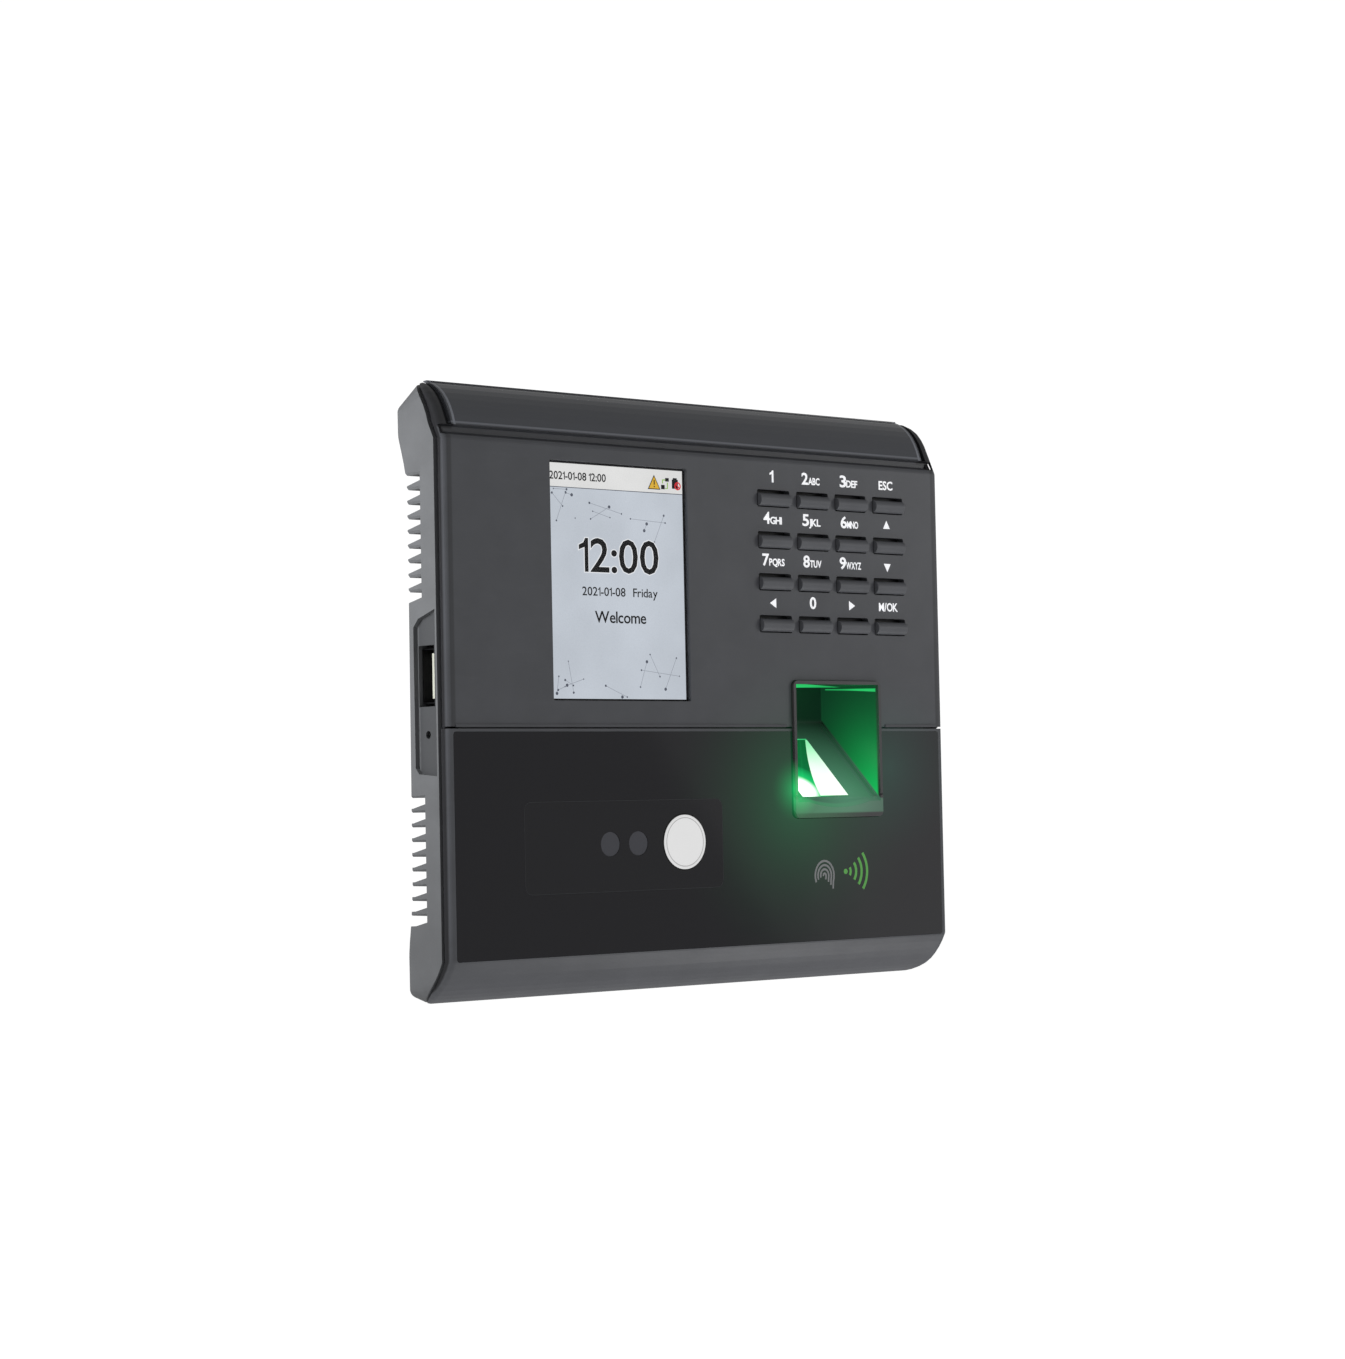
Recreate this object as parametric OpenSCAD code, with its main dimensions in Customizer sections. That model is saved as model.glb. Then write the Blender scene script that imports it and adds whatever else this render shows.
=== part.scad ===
// Wall-mounted fingerprint and face terminal with a colour display and a keypad.
// Frame: origin on the wall, at the middle of the wall plate. +X to the right as
// seen from the front, +Y into the wall, +Z up. Millimetres.
// Depths (d) are counted from the flat front face towards the wall.

/* [Case] */
// Overall width of the terminal
body_w = 167.5; // [167:0.5:168.5]
// Overall height of the terminal
body_h = 149; // [148.5:0.5:150]
// Distance from the wall to the flat front face
face_depth = 31.4; // [31.4:0.1:32]
// Height of the seam between the two front covers
seam_z = -8.9; // [-9.2:0.1:-8.7]
// Width of the seam
seam_gap = 0.5; // [0.4:0.1:0.8]
// Rounding of the long side edges
edge_r = 2.2; // [1.8:0.1:2.4]
// Corner radius of the case as seen from the front
corner_r = 5; // [4:0.5:6]
// Wall thickness of the upper front cover
upper_wall = 2.2; // [2:0.1:2.3]
// Wall thickness of the lower front cover, with the bed of its panel
lower_wall = 2.6; // [2.4:0.1:2.7]
// Depth of the rim of the upper front cover at the sides
upper_rim = 1.3; // [1.1:0.1:1.5]
// Depth of the rim of the lower front cover at the sides
lower_rim = 1.7; // [1.5:0.1:1.9]
// Depth at which the rear cover starts at the sides
rear_start = 2.8; // [2.6:0.1:3]

/* [Display] */
// Width of the lit picture
picture_w = 43.2; // [43:0.1:43.4]
// Height of the lit picture
picture_h = 57.6; // [57.4:0.1:57.8]
// Middle of the picture, sideways
picture_x = -28.7; // [-29:0.1:-28.4]
// Middle of the picture, upwards
picture_z = 27; // [26.6:0.1:27.2]
// Black border between the picture and the opening
picture_border = 0.5; // [0.4:0.1:0.8]
// How far the window sits behind the front face
window_recess = 0.4; // [0.3:0.1:0.5]

/* [Keypad] */
// Middle of the first column of keys
key_x = 22.9; // [22.5:0.1:23.2]
// Middle of the first row of keys
key_z = 50.2; // [50:0.1:50.4]
// Distance between columns
key_pitch_x = 13.75; // [13.7:0.05:13.8]
// Distance between rows
key_pitch_z = 10.8; // [10.7:0.1:10.9]
// Width of the slot of a key
slot_w = 11.3; // [11:0.1:11.5]
// Height of the slot of a key
slot_h = 4.5; // [4.3:0.1:4.6]
// Gap beside and below a key
key_gap = 0.3; // [0.2:0.05:0.4]
// Gap above a key
key_gap_top = 0.9; // [0.6:0.1:1]
// How far a key stands out of the front face
key_rise = 1.4; // [1:0.1:1.5]
// Travel of a key
key_travel = 0.6; // [0.4:0.1:0.6]

/* [Fingerprint scanner] */
// Width of the scanner bezel
bezel_w = 31.5; // [31.3:0.1:31.7]
// Height of the scanner bezel
bezel_h = 35.6; // [35.4:0.1:35.8]
// Middle of the bezel, sideways
bezel_x = 43.6; // [43.4:0.1:43.8]
// Middle of the bezel, upwards
bezel_z = -14.5; // [-14.7:0.1:-14.3]
// How far the bezel stands out of the front face
bezel_proud = 0.8; // [0.5:0.1:0.8]
// Wall of the finger well
well_wall = 0.9; // [0.8:0.1:1]
// Depth of the finger well
well_depth = 21; // [20.5:0.1:21]
// Slope of the deck that the finger lies on
deck_angle = 44; // [43:0.5:45]
// Width of the glass platen
platen_w = 16.6; // [16:0.1:17]
// Length of the glass platen along the slope
platen_l = 21.8; // [21.4:0.1:22]

/* [Camera window] */
// Width of the smoked window
smoked_w = 63.5; // [63:0.5:64]
// Height of the smoked window
smoked_h = 22.3; // [22:0.1:22.6]
// Middle of the smoked window, sideways
smoked_x = -28.8; // [-29:0.1:-28.6]
// Middle of the smoked window, upwards
smoked_z = -38; // [-38.2:0.1:-37.8]
// Middle of the fill light, sideways
light_x = -9.8; // [-10:0.1:-9.6]
// Radius of the fill light
light_r = 6.8; // [6.6:0.1:7]
// Height of the light and the lenses
optics_z = -37.5; // [-37.7:0.1:-37.3]
// Radius of a lens cover
lens_r = 3; // [2.8:0.1:3.2]

/* [Vents and side recess] */
// Number of slots in each group of vents
vent_count = 9; // [5:1:9]
// Distance between slots
vent_pitch = 3.5; // [3.4:0.05:3.55]
// Height of a slot at its front end
vent_h = 1.5; // [1.4:0.05:1.7]
// How much higher a slot gets towards the wall
vent_flare = 1.05; // [0.8:0.05:1.1]
// Depth at which the slots start
vent_start = 8.4; // [8.2:0.1:9]
// Depth of the recess round the side connector
recess_t = 1.2; // [0.8:0.1:1.3]

/* [Wall plate] */
// Width of the wall plate
plate_w = 112; // [110:1:114]
// Height of the wall plate
plate_h = 108; // [107:1:109]
// Thickness of the wall plate
plate_t = 1.5; // [1.2:0.1:1.5]
// Distance between the wall holes, sideways
wall_hole_x = 72; // [70:1:74]
// Distance between the wall holes, upwards
wall_hole_z = 80; // [78:1:80]
// Radius of a wall hole
wall_hole_r = 2.25; // [2:0.05:2.5]
// How far the terminal lifts off its hooks
hook_lift = 6; // [5:0.5:6]

/* [Hidden] */
$fn = 48;
KEY_NAMES = [["key_1", "key_2", "key_3", "key_esc"],
             ["key_4", "key_5", "key_6", "key_up"],
             ["key_7", "key_8", "key_9", "key_down"],
             ["key_left", "key_0", "key_right", "key_menu"]];

half_w = body_w / 2;
half_h = body_h / 2;
far = 100;              // beyond the case, for cutters and trimming shapes
slack = 0.1;            // gap between parts that only lie beside each other
face_top = half_h - 14; // top edge of the flat face
groove_top = half_h - 11.3; // top edge of the shadow groove under the visor
groove_d = 2.8;         // depth of that groove
groove_end = 0.8;       // distance of the groove's ends from the case's sides
face_bottom = 10.3 - half_h; // bottom edge of the flat face
case_t = 2;             // wall of the rear cover
vent_end = 13.5;        // depth at which a slot has its full height
vent_slant = 0.6;       // slant of a fin's lower outer edge
visor_bed = 3.1;        // distance of the visor's bed from the case's sides

// ---------- Helpers ----------

// Points of a quadratic curve from a to c, drawn towards q.
function curve(a, q, c, n) =
    [for (i = [0:n]) let (t = i / n) (1-t)*(1-t)*a + 2*t*(1-t)*q + t*t*c];

function edge_normal(a, b) = let (v = (b - a) / norm(b - a)) [-v[1], v[0]];

// A closed outline, its points in anticlockwise order, moved inwards by r.
function inset(p, r) = let (n = len(p))
    [for (i = [0:n-1])
        let (u = edge_normal(p[(i+n-1) % n], p[i]), v = edge_normal(p[i], p[(i+1) % n]))
        p[i] + r * (u + v) / (1 + u*v)];

// A 2D side view, with depth and height as its axes, extruded sideways.
module along_x(x) translate([x[0], -face_depth, 0]) rotate([90, 0, 90])
    linear_extrude(x[1] - x[0]) children();

// A 2D front view, extruded from depth d[0] to depth d[1].
module along_d(d) translate([0, d[1] - face_depth, 0]) rotate([90, 0, 0])
    linear_extrude(d[1] - d[0]) children();

module block(x, d, z) translate([x[0], d[0] - face_depth, z[0]])
    cube([x[1] - x[0], d[1] - d[0], z[1] - z[0]]);

module rod_d(x, z, r, d) translate([x, d[0] - face_depth, z]) rotate([-90, 0, 0])
    cylinder(r = r, h = d[1] - d[0]);

module rod_x(x, d, z, r) translate([x[0], d - face_depth, z]) rotate([0, 90, 0])
    cylinder(r = r, h = x[1] - x[0]);

module rod_z(x, d, r, z) translate([x, d - face_depth, z[0]])
    cylinder(r = r, h = z[1] - z[0]);

// A rounded rectangle round the point c.
module round_rect(c, w, h, r) translate(c) {
    square([w, h - 2*r], center = true);
    square([w - 2*r, h], center = true);
    for (i = [-1, 1], j = [-1, 1]) translate([i*(w/2 - r), j*(h/2 - r)]) circle(r);
}

// ---------- The case's outer form ----------

// Depth and height along the front, from the top ridge down to the bottom.
visor_curve = curve([11.5, half_h], [4.4, half_h - 2.3], [2, half_h - 10.9], 7);
bevel_curve = curve([0, face_bottom], [4.4, 1.6 - half_h], [13.2, -half_h], 8);
front_curve = concat(visor_curve, [[0, face_top - 0.6]], bevel_curve);
rear_top = [18.4, half_h - 6.2];
rear_bottom = [17.7, 2.3 - half_h];
profile = concat(front_curve, [rear_bottom, rear_top]);

// The waisted rear edge, from top to bottom.
waist_curve = concat(curve([18.6, half_h - 9.5], [15, half_h - 17], [13.6, half_h - 25], 6),
                     [[13.6, 22]], curve([14.3, -46], [15, -58], [17.9, 7 - half_h], 6));

// The case as seen from the front, made smaller by t all round.
module outline(t) round_rect([0, 0], body_w - 2*t, body_h - 2*t, corner_r - t);

// Everything further back than the front curve moved back by s.
module behind(s) along_x([-far, far])
    polygon(concat([[front_curve[0][0] + s, far]], [for (p = front_curve) p + [s, 0]],
                   [[13.2 + s, -far], [far, -far], [far, far]]));

// Everything further back than the waist moved by s.
module behind_waist(s) along_x([-far, far])
    polygon(concat([[18.6 + s, far]], [for (p = waist_curve) p + [s, 0]],
                   [[17.9 + s, -far], [far, -far], [far, far]]));

// Half width of the ball centres at height z, so that the corners come out round.
ball_corner = corner_r - edge_r;
function ball_x(z) = let (over = max(0, abs(z) - (half_h - corner_r)))
    half_w - corner_r + sqrt(max(0, ball_corner*ball_corner - over*over));

module outer_form() difference() {
    hull() for (p = inset(profile, edge_r), s = [-1, 1])
        translate([s * ball_x(p[1]), p[0] - face_depth, p[1]]) sphere(edge_r, $fn = 32);
    behind_waist(0);
}

// The room inside the case.
module inner_form() difference() {
    intersection() {
        along_x([case_t - half_w, half_w - case_t]) polygon(inset(profile, case_t));
        along_d([-1, far]) outline(case_t);
    }
    behind_waist(-case_t);
}

// A layer that follows the front, from s[0] to s[1] behind it.
module layer(s) difference() {
    behind(s[0]);
    behind(s[1]);
}

// ---------- Shared places ----------

// Middles of the housing screws, as seen from the front.
screw_places = [[-69.5, 57], [69.5, 57], [-69.5, -19], [69.5, -19], [-64, -65], [64, -65]];
boss_end = 9.5;         // depth at which the front bosses end
screw_seat = 11.2;      // depth of the seat under a screw's head
post_r = 3.2;           // radius of a front boss
board_post_r = 2.6;     // radius of a boss under the main board
housing_screw_r = 1.5;
board_screw_r = 1.25;
rear_post_r = 4.4;      // radius of a rear boss, which takes the screw's head

function key_place(row, col) = [key_x + col*key_pitch_x, key_z - row*key_pitch_z];

opening_w = picture_w + 2*picture_border;
opening_h = picture_h + 2*picture_border;
screen_d = window_recess + 1;   // front of the display module
module_w = 50;
module_h = 66;
module_z = picture_z - 1.5;

bezel_low = bezel_z - bezel_h/2;
bezel_high = bezel_z + bezel_h/2;
deck_z = bezel_low + 4.9;       // height of the deck at the front face
function deck_at(d) = deck_z + d*tan(deck_angle);
platen_x = bezel_x - 3.6;
platen_start = 0.7;             // depth at which the platen starts
well_x = [bezel_x - bezel_w/2 + well_wall, bezel_x + bezel_w/2 - well_wall];
well_top = bezel_high - well_wall;
scoop_r = 56;                   // radius of the hollow in the lower lip
lens_x = [smoked_x - 5.1, smoked_x + 3.9];

panel_w = body_w - 4.9;
panel_z = [face_bottom, seam_z - seam_gap/2 - 0.75];

side_usb = [8.5, 3.6];          // depth and height of the connector's middle
side_usb_x = -half_w + 2.1;     // mouth of the connector
pin_place = [8.2, -10.4];       // depth and height of the reset pinhole
pin_r = 0.95;
recess_z = [-20.3, 19.3];

pod = [64, [-55, 58]];          // half width and heights of the rear pod
pod_back = 29.7;
pod_t = 2;
cable_x = [-28, 20];
cable_z = [-49, -26];
hook_places = [[-42, 26], [42, 26], [-42, -8], [42, -8]];
hook_w = 8;
wall_head = 10;                 // room for the head of a wall screw
hook_d = 25.8;                  // depth of a hook's front
hook_up = 5;                    // height of a hook's finger above its stem
plate_z = 1.5;                  // middle of the pod and of the sheet's height
board_d = [4.4, 6];             // depths, width and height of the main board
board_x = [-62, 11];
board_z = [-24, 58];
board_screw_places = [[-59, 55], [8, 55], [-59, -21], [8, -17.5]];
lock = [0, 24];                 // sideways place and depth of the security screw
tamper_place = [0, 47];

// ---------- Case ----------

module wall_plate() color("silver") {
    difference() {
        along_d([face_depth - plate_t, face_depth])
            round_rect([0, 0], plate_w, plate_h, 6);
        for (i = [-1, 1], j = [-1, 1])
            rod_d(i*wall_hole_x/2, j*wall_hole_z/2, wall_hole_r,
                  [face_depth - 2*plate_t, face_depth + 1]);
        along_d([face_depth - 2*plate_t, face_depth + 1]) {
            round_rect([-4, -35], 40, 17, 3);
            round_rect([0, 12], 46, 30, 4);
        }
    }
    for (p = hook_places) {
        block([p[0] - hook_w/2, p[0] + hook_w/2], [hook_d, face_depth - plate_t],
              [p[1], p[1] + plate_t]);
        block([p[0] - hook_w/2, p[0] + hook_w/2], [hook_d, hook_d + plate_t],
              [p[1], p[1] + plate_t + hook_up]);
    }
    lip_z = pod[1][0] - 0.3;
    difference() {
        union() {
            block([-12, 12], [19, face_depth], [lip_z - plate_t, lip_z]);
            block([-12, 12], [face_depth - plate_t, face_depth], [lip_z - plate_t, 4 - plate_h/2]);
        }
        rod_z(lock[0], lock[1], 1.8, [lip_z - 2*plate_t, lip_z + 1]);
    }
}

module security_screw() color("dimgray") {
    under = pod[1][0] - 0.3 - plate_t - 0.05;
    difference() {
        rod_z(lock[0], lock[1], 2.9, [under - 2, under]);
        rod_z(lock[0], lock[1], 1.3, [under - 3, under - 0.9]);
    }
    rod_z(lock[0], lock[1], 0.4, [under - 1.8, under - 0.8]);
    rod_z(lock[0], lock[1], 1.5, [under, pod[1][0] + 7.5]);
}

// Slots that widen towards the wall, between fins with a slanted lower edge.
module vent_slots() for (top = [51.8, -25.3], i = [0:vent_count-1], s = [-1, 1])
    translate([s*half_w, 0, top - i*vent_pitch]) {
        along_x([-8, 8]) polygon([[vent_start, 0], [vent_start, -vent_h],
            [vent_end, -vent_h - vent_flare], [20, -vent_h - vent_flare], [20, 0]]);
        along_d([vent_start, 20]) polygon([[-s*vent_slant, -slack], [s, -slack],
            [s, vent_slant], [0, vent_slant]]);
    }

module rear_cover() color("gray") difference() {
    union() {
        difference() {
            union() {
                intersection() {
                    outer_form();
                    behind(rear_start);
                }
                along_d([11.8, pod_back])
                    round_rect([0, plate_z], 2*pod[0], pod[1][1] - pod[1][0], 7);
            }
            inner_form();
            along_d([8, pod_back - pod_t])
                round_rect([0, plate_z], 2*(pod[0] - pod_t), pod[1][1] - pod[1][0] - 2*pod_t, 5);
        }
        // thicker wall behind the side recess
        block([-half_w + case_t - slack, -half_w + case_t + 1.2],
              [3.5, 12.5], [recess_z[0] - 2, recess_z[1] + 2]);
        intersection() {
            for (p = screw_places) rod_d(p[0], p[1], rear_post_r, [boss_end + slack, 20]);
            outer_form();
        }
        // seat of the threaded insert
        rod_z(lock[0], lock[1], 5, [pod[1][0] + pod_t - slack, pod[1][0] + 9]);
    }
    for (p = screw_places) {
        rod_d(p[0], p[1], 1.7, [0, 20]);
        rod_d(p[0], p[1], 3, [screw_seat, 20]);
    }
    vent_slots();
    // side recess with slanted ends
    along_x([-half_w - 1, -half_w + recess_t]) polygon([
        [3.4, recess_z[0]], [10.6, recess_z[0] + 0.6], [12, recess_z[0] + 2],
        [12, recess_z[1] - 4], [10, recess_z[1] - 2], [3.4, recess_z[1]]]);
    block([-half_w - 1, -half_w + 6], [side_usb[0] - 3.1, side_usb[0] + 3.1],
          [side_usb[1] - 7.3, side_usb[1] + 7.3]);
    rod_x([-half_w - 1, -half_w + 5], pin_place[0], pin_place[1], pin_r);
    // cable opening and hook slots in the back
    block(cable_x, [pod_back - 4, far], cable_z);
    for (p = hook_places)
        block([p[0] - hook_w/2 - 0.6, p[0] + hook_w/2 + 0.6], [pod_back - 4, far],
              [p[1] - hook_lift - 0.4, p[1] + plate_t + 0.05]);
    rod_d(tamper_place[0], tamper_place[1], 2.2, [pod_back - 4, far]);
    // room for the heads of the wall screws, also while the terminal is lifted
    for (i = [-1, 1], j = [-1, 1])
        along_d([pod_back - 4, far])
            round_rect([i*wall_hole_x/2, j*wall_hole_z/2 - hook_lift/2],
                       wall_head, wall_head + hook_lift, wall_head/2 - slack);
    // way in for the security screw, and its insert
    rod_z(lock[0], lock[1], 2.2, [pod[1][0] - 1, pod[1][0] + 20]);
    rod_z(lock[0], lock[1], 3.3, [pod[1][0] + pod_t, pod[1][0] + 20]);
}

// One front cover before its openings: a rim that shows at the side, the front
// wall and a skirt that goes into the rear cover.
module cover_blank(rim, wall, z) intersection() {
    union() {
        difference() {
            outer_form();
            behind(rim);
        }
        intersection() {
            layer([0.5, wall]);
            along_d([-1, 20]) outline(2.4);
        }
        intersection() {
            layer([0.5, 3.4]);
            along_x([-far, far]) polygon(inset(profile, case_t + 0.3));
            along_d([-1, 20]) difference() {
                outline(2.6);
                outline(3.9);
            }
        }
    }
    block([-far, far], [-5, 40], z);
}

// Bosses for the given housing screws and board screws, joined to the children,
// and the holes that the screws cut their threads in.
module with_posts(housing, board) difference() {
    union() {
        children();
        intersection() {
            union() {
                for (i = housing)
                    rod_d(screw_places[i][0], screw_places[i][1], post_r, [1.7, boss_end]);
                for (i = board)
                    rod_d(board_screw_places[i][0], board_screw_places[i][1], board_post_r,
                          [1.7, board_d[0] - 0.05]);
            }
            behind(0.9);
        }
    }
    for (i = housing)
        rod_d(screw_places[i][0], screw_places[i][1], housing_screw_r + 0.05, [3.4, far]);
    for (i = board)
        rod_d(board_screw_places[i][0], board_screw_places[i][1], board_screw_r + 0.05, [2.4, far]);
}

module scanner_cut() along_d([-5, 5])
    round_rect([bezel_x, bezel_z], bezel_w + 0.3, bezel_h + 0.3, 1.6);

module upper_front_cover() color("dimgray") with_posts([0:1], [0:1]) {
    difference() {
        cover_blank(upper_rim, upper_wall, [seam_z + seam_gap/2, far]);
        // shadow groove under the visor, with a sloping lower edge
        along_x([groove_end - half_w, half_w - groove_end]) polygon([
            [-5, face_top - 0.2], [0, face_top], [1.4, face_top + 0.4], [groove_d, face_top + 1],
            [groove_d, groove_top - 0.4], [1.4, groove_top], [-5, groove_top]]);
        // bed of the visor
        intersection() {
            difference() {
                along_x([-half_w + visor_bed, half_w - visor_bed])
                    square([14, half_h]);
                behind(1.25);
            }
            block([-far, far], [-5, 40], [groove_top, far]);
        }
        along_d([-5, 5]) round_rect([picture_x, picture_z], opening_w, opening_h, 0.4);
        block([picture_x - module_w/2 - 0.2, picture_x + module_w/2 + 0.2], [screen_d - 0.2, 5],
              [module_z - module_h/2 - 0.2, module_z + module_h/2 + 0.2]);
        for (row = [0:3], col = [0:3])
            along_d([-5, 5]) round_rect(key_place(row, col), slot_w, slot_h, 0.5);
        scanner_cut();
    }
    // strip that closes the back of the groove
    intersection() {
        along_x([3 - half_w, half_w - 3])
            polygon([[1.8, face_top - 1.6], [groove_d + 1.2, face_top - 1.6],
                     [groove_d + 1.2, groove_top], [groove_d + 3, groove_top + 4],
                     [groove_d + 1.4, groove_top + 2], [groove_d + 0.4, groove_top],
                     [groove_d, groove_top],
                     [groove_d, face_top + 1], [1.8, face_top + 0.5]]);
        along_d([-1, 20]) outline(2.4);
    }
}

module lower_front_cover() color("dimgray") with_posts([2:5], [2:3]) {
    difference() {
        cover_blank(lower_rim, lower_wall, [-far, seam_z - seam_gap/2]);
        // bed of the gloss panel
        along_d([-5, 1.6])
            round_rect([0, (panel_z[0] + panel_z[1])/2], panel_w + 0.1,
                       panel_z[1] - panel_z[0] + 0.1, 0.8);
        along_d([-5, 5])
            round_rect([smoked_x, smoked_z], smoked_w - 3, smoked_h - 3, 1);
        scanner_cut();
    }
    // strip that closes the seam from behind
    difference() {
        union() {
            block([-78, 78], [1.8, upper_wall + 1.2], [seam_z - 5, seam_z - seam_gap/2]);
            block([-78, 78], [upper_wall + 0.05, upper_wall + 1.2], [seam_z - 5, seam_z + 0.9]);
        }
        scanner_cut();
    }
}

module housing_seal() color("black") intersection() {
    union() {
        intersection() {
            layer([upper_rim + 0.05, rear_start - 0.05]);
            block([-far, far], [-5, 40], [seam_z, far]);
        }
        intersection() {
            layer([lower_rim + 0.05, rear_start - 0.05]);
            block([-far, far], [-5, 40], [-far, seam_z]);
        }
    }
    along_d([-1, 20]) difference() {
        outline(1.1);
        outline(2.35);
    }
}

module visor() color("darkslategray") difference() {
    intersection() {
        layer([-0.35, 1.15]);
        along_x([-half_w + 4.7, half_w - 4.7]) polygon([[-1, groove_top + 0.05],
            [6, groove_top + 0.05], [18, half_h - 3], [18, half_h + 0.3], [-1, half_h + 0.3]]);
    }
    // sloping end faces
    for (s = [-1, 1]) translate([s*(half_w - 4.7), 0, 0]) rotate([0, s*8, 0])
        block([s > 0 ? 0 : -9, s > 0 ? 9 : 0], [-5, 25], [groove_top - 5, half_h + 5]);
}

module gloss_panel() color("black") difference() {
    along_d([0, 1.5])
        round_rect([0, (panel_z[0] + panel_z[1])/2], panel_w, panel_z[1] - panel_z[0], 0.8);
    scanner_cut();
    along_d([-1, 2]) round_rect([smoked_x, smoked_z], smoked_w + 0.2, smoked_h + 0.2, 2.1);
}

// ---------- Camera and light ----------

module smoked_window() color([0.1, 0.1, 0.12]) difference() {
    along_d([0, 1.5]) round_rect([smoked_x, smoked_z], smoked_w, smoked_h, 2);
    rod_d(light_x, optics_z, light_r + 0.25, [-1, 3]);
    for (x = lens_x) rod_d(x, optics_z, lens_r + 0.05, [-1, 3]);
}

module light_lens() color("white") {
    rod_d(light_x, optics_z, light_r, [-0.2, 2]);
    rod_d(light_x, optics_z, light_r + 1.4, [2, 3]);
}

module light_board() color("green") {
    rod_d(light_x, optics_z, 7.6, [6, 7.2]);
    for (i = [-1, 1], j = [-1, 1])
        block([light_x + 3*i - 1.4, light_x + 3*i + 1.4], [5.2, 6],
              [optics_z + 3*j - 1.4, optics_z + 3*j + 1.4]);
}

module lens_covers() color([0.2, 0.2, 0.22]) for (x = lens_x)
    rod_d(x, optics_z, lens_r, [0.1, 1.4]);

module camera_module() color("black") for (x = lens_x) difference() {
    union() {
        block([x - 4.2, x + 4.2], [6, 9.5], [optics_z - 4.2, optics_z + 4.2]);
        rod_d(x, optics_z, 3.6, [1.9, 6]);
    }
    rod_d(x, optics_z, 2.4, [1, 3.4]);
}

module camera_board() color("green") difference() {
    block([-58, -18.6], [9.6, 10.8], [-48, -28]);
    for (x = [-56, -20.6], z = [-46, -30]) rod_d(x, z, 1.1, [9, 12]);
}

module infrared_leds() color("indigo") for (x = [-53, -44], z = [-33, -42]) {
    rod_d(x, z, 1.5, [3, 8.6]);
    rod_d(x, z, 1.9, [8.6, 9.5]);
}

// ---------- Display ----------

module display_window() color([0.6, 0.65, 0.7]) along_d([window_recess, screen_d - 0.2])
    round_rect([picture_x, picture_z], opening_w - 0.2, opening_h - 0.2, 0.3);

module display_gasket() color("black") difference() {
    block([picture_x - 24.5, picture_x + 24.5], [screen_d - 0.18, screen_d - 0.02],
          [module_z - 32, module_z + 32]);
    block([picture_x - picture_w/2 - slack, picture_x + picture_w/2 + slack], [0, 3],
          [picture_z - picture_h/2 - slack, picture_z + picture_h/2 + slack]);
}

module display_module() color("lightgray")
    block([picture_x - module_w/2, picture_x + module_w/2], [screen_d, screen_d + 2.6],
          [module_z - module_h/2, module_z + module_h/2]);

// ---------- Fingerprint scanner ----------

module scanner_bezel() color([0.25, 0.35, 0.3]) difference() {
    union() {
        along_d([-bezel_proud, well_depth + well_wall])
            round_rect([bezel_x, bezel_z], bezel_w, bezel_h, 1.5);
        // flange behind the front covers
        along_d([5, 6]) round_rect([bezel_x, bezel_z], bezel_w + 4, bezel_h + 4, 1.5);
    }
    difference() {
        along_x(well_x) polygon([[-5, well_top], [well_depth, well_top],
            [well_depth, deck_at(well_depth)], [-bezel_proud, deck_at(-bezel_proud)],
            [-5, deck_at(-bezel_proud)]]);
        // raised rails along both sides of the deck
        for (x = [well_x[0] + 0.8, well_x[1] - 2.0]) deck_frame()
            translate([x, 0, -1]) cube([1.2, 27.5, 1.45]);
    }
    // hollow of the finger guide in the lower lip
    deck_frame() translate([bezel_x, -6, scoop_r - 1.1]) rotate([-90, 0, 0])
        cylinder(r = scoop_r, h = 6 + platen_start/cos(deck_angle) - 0.6, $fn = 120);
    // seat of the platen, and the dark chamber behind it
    deck_frame() translate([platen_x - platen_w/2 - 0.1, platen_start/cos(deck_angle) - 0.1, -4])
        cube([platen_w + 0.2, platen_l + 0.2, 8]);
    along_x([well_x[0] + 1, well_x[1] - 1]) polygon([
        [2.6, bezel_low + 1], [30, bezel_low + 1], [30, deck_at(well_depth - 2.2) - 2.4],
        [well_depth - 2.2, deck_at(well_depth - 2.2) - 2.4], [2.6, deck_at(2.6) - 2.4]]);
}

// Coordinates on the deck: X sideways, Y up the slope from the front face, Z out of it.
module deck_frame() translate([0, -face_depth, deck_z]) rotate([deck_angle, 0, 0]) children();

module scanner_prism() color([0.7, 1, 0.8]) {
    start = platen_start/cos(deck_angle);
    difference() {
        deck_frame() translate([platen_x - platen_w/2, start, -9]) cube([platen_w, platen_l, 8.95]);
        block([0, far], [platen_start + platen_l*cos(deck_angle) + 1, far], [-far, 0]);
        block([0, far], [-5, far], [-far, bezel_low + 1.8]);
        block([0, far], [-5, 2.8], [-far, deck_z - 0.6]);
    }
}

module scanner_chamber() color("black") difference() {
    block([platen_x - 10, platen_x + 12], [well_depth + well_wall + slack, 25.2],
          [bezel_low + 1.2, -11]);
    block([platen_x - 8, platen_x + 8], [well_depth, 24], [bezel_low + 3, -13]);
}

module scanner_board() color("green")
    block([platen_x - 9, platen_x + 11], [25.3, 26.4], [bezel_low + 1.5, -18.5]);

module scanner_leds() color("palegreen") for (i = [-2:2])
    block([platen_x + 3*i - 0.8, platen_x + 3*i + 0.8], [well_depth, well_depth + well_wall + 0.05],
          [bezel_low + 1.3, bezel_low + 2.9]);

// ---------- Electronics ----------

module main_board() color("green") difference() {
    union() {
        block(board_x, board_d, board_z);
        block([-75, -61], board_d, [-12.6, 14]);
    }
    for (p = board_screw_places) rod_d(p[0], p[1], 1.7, [4, 7]);
}

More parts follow.
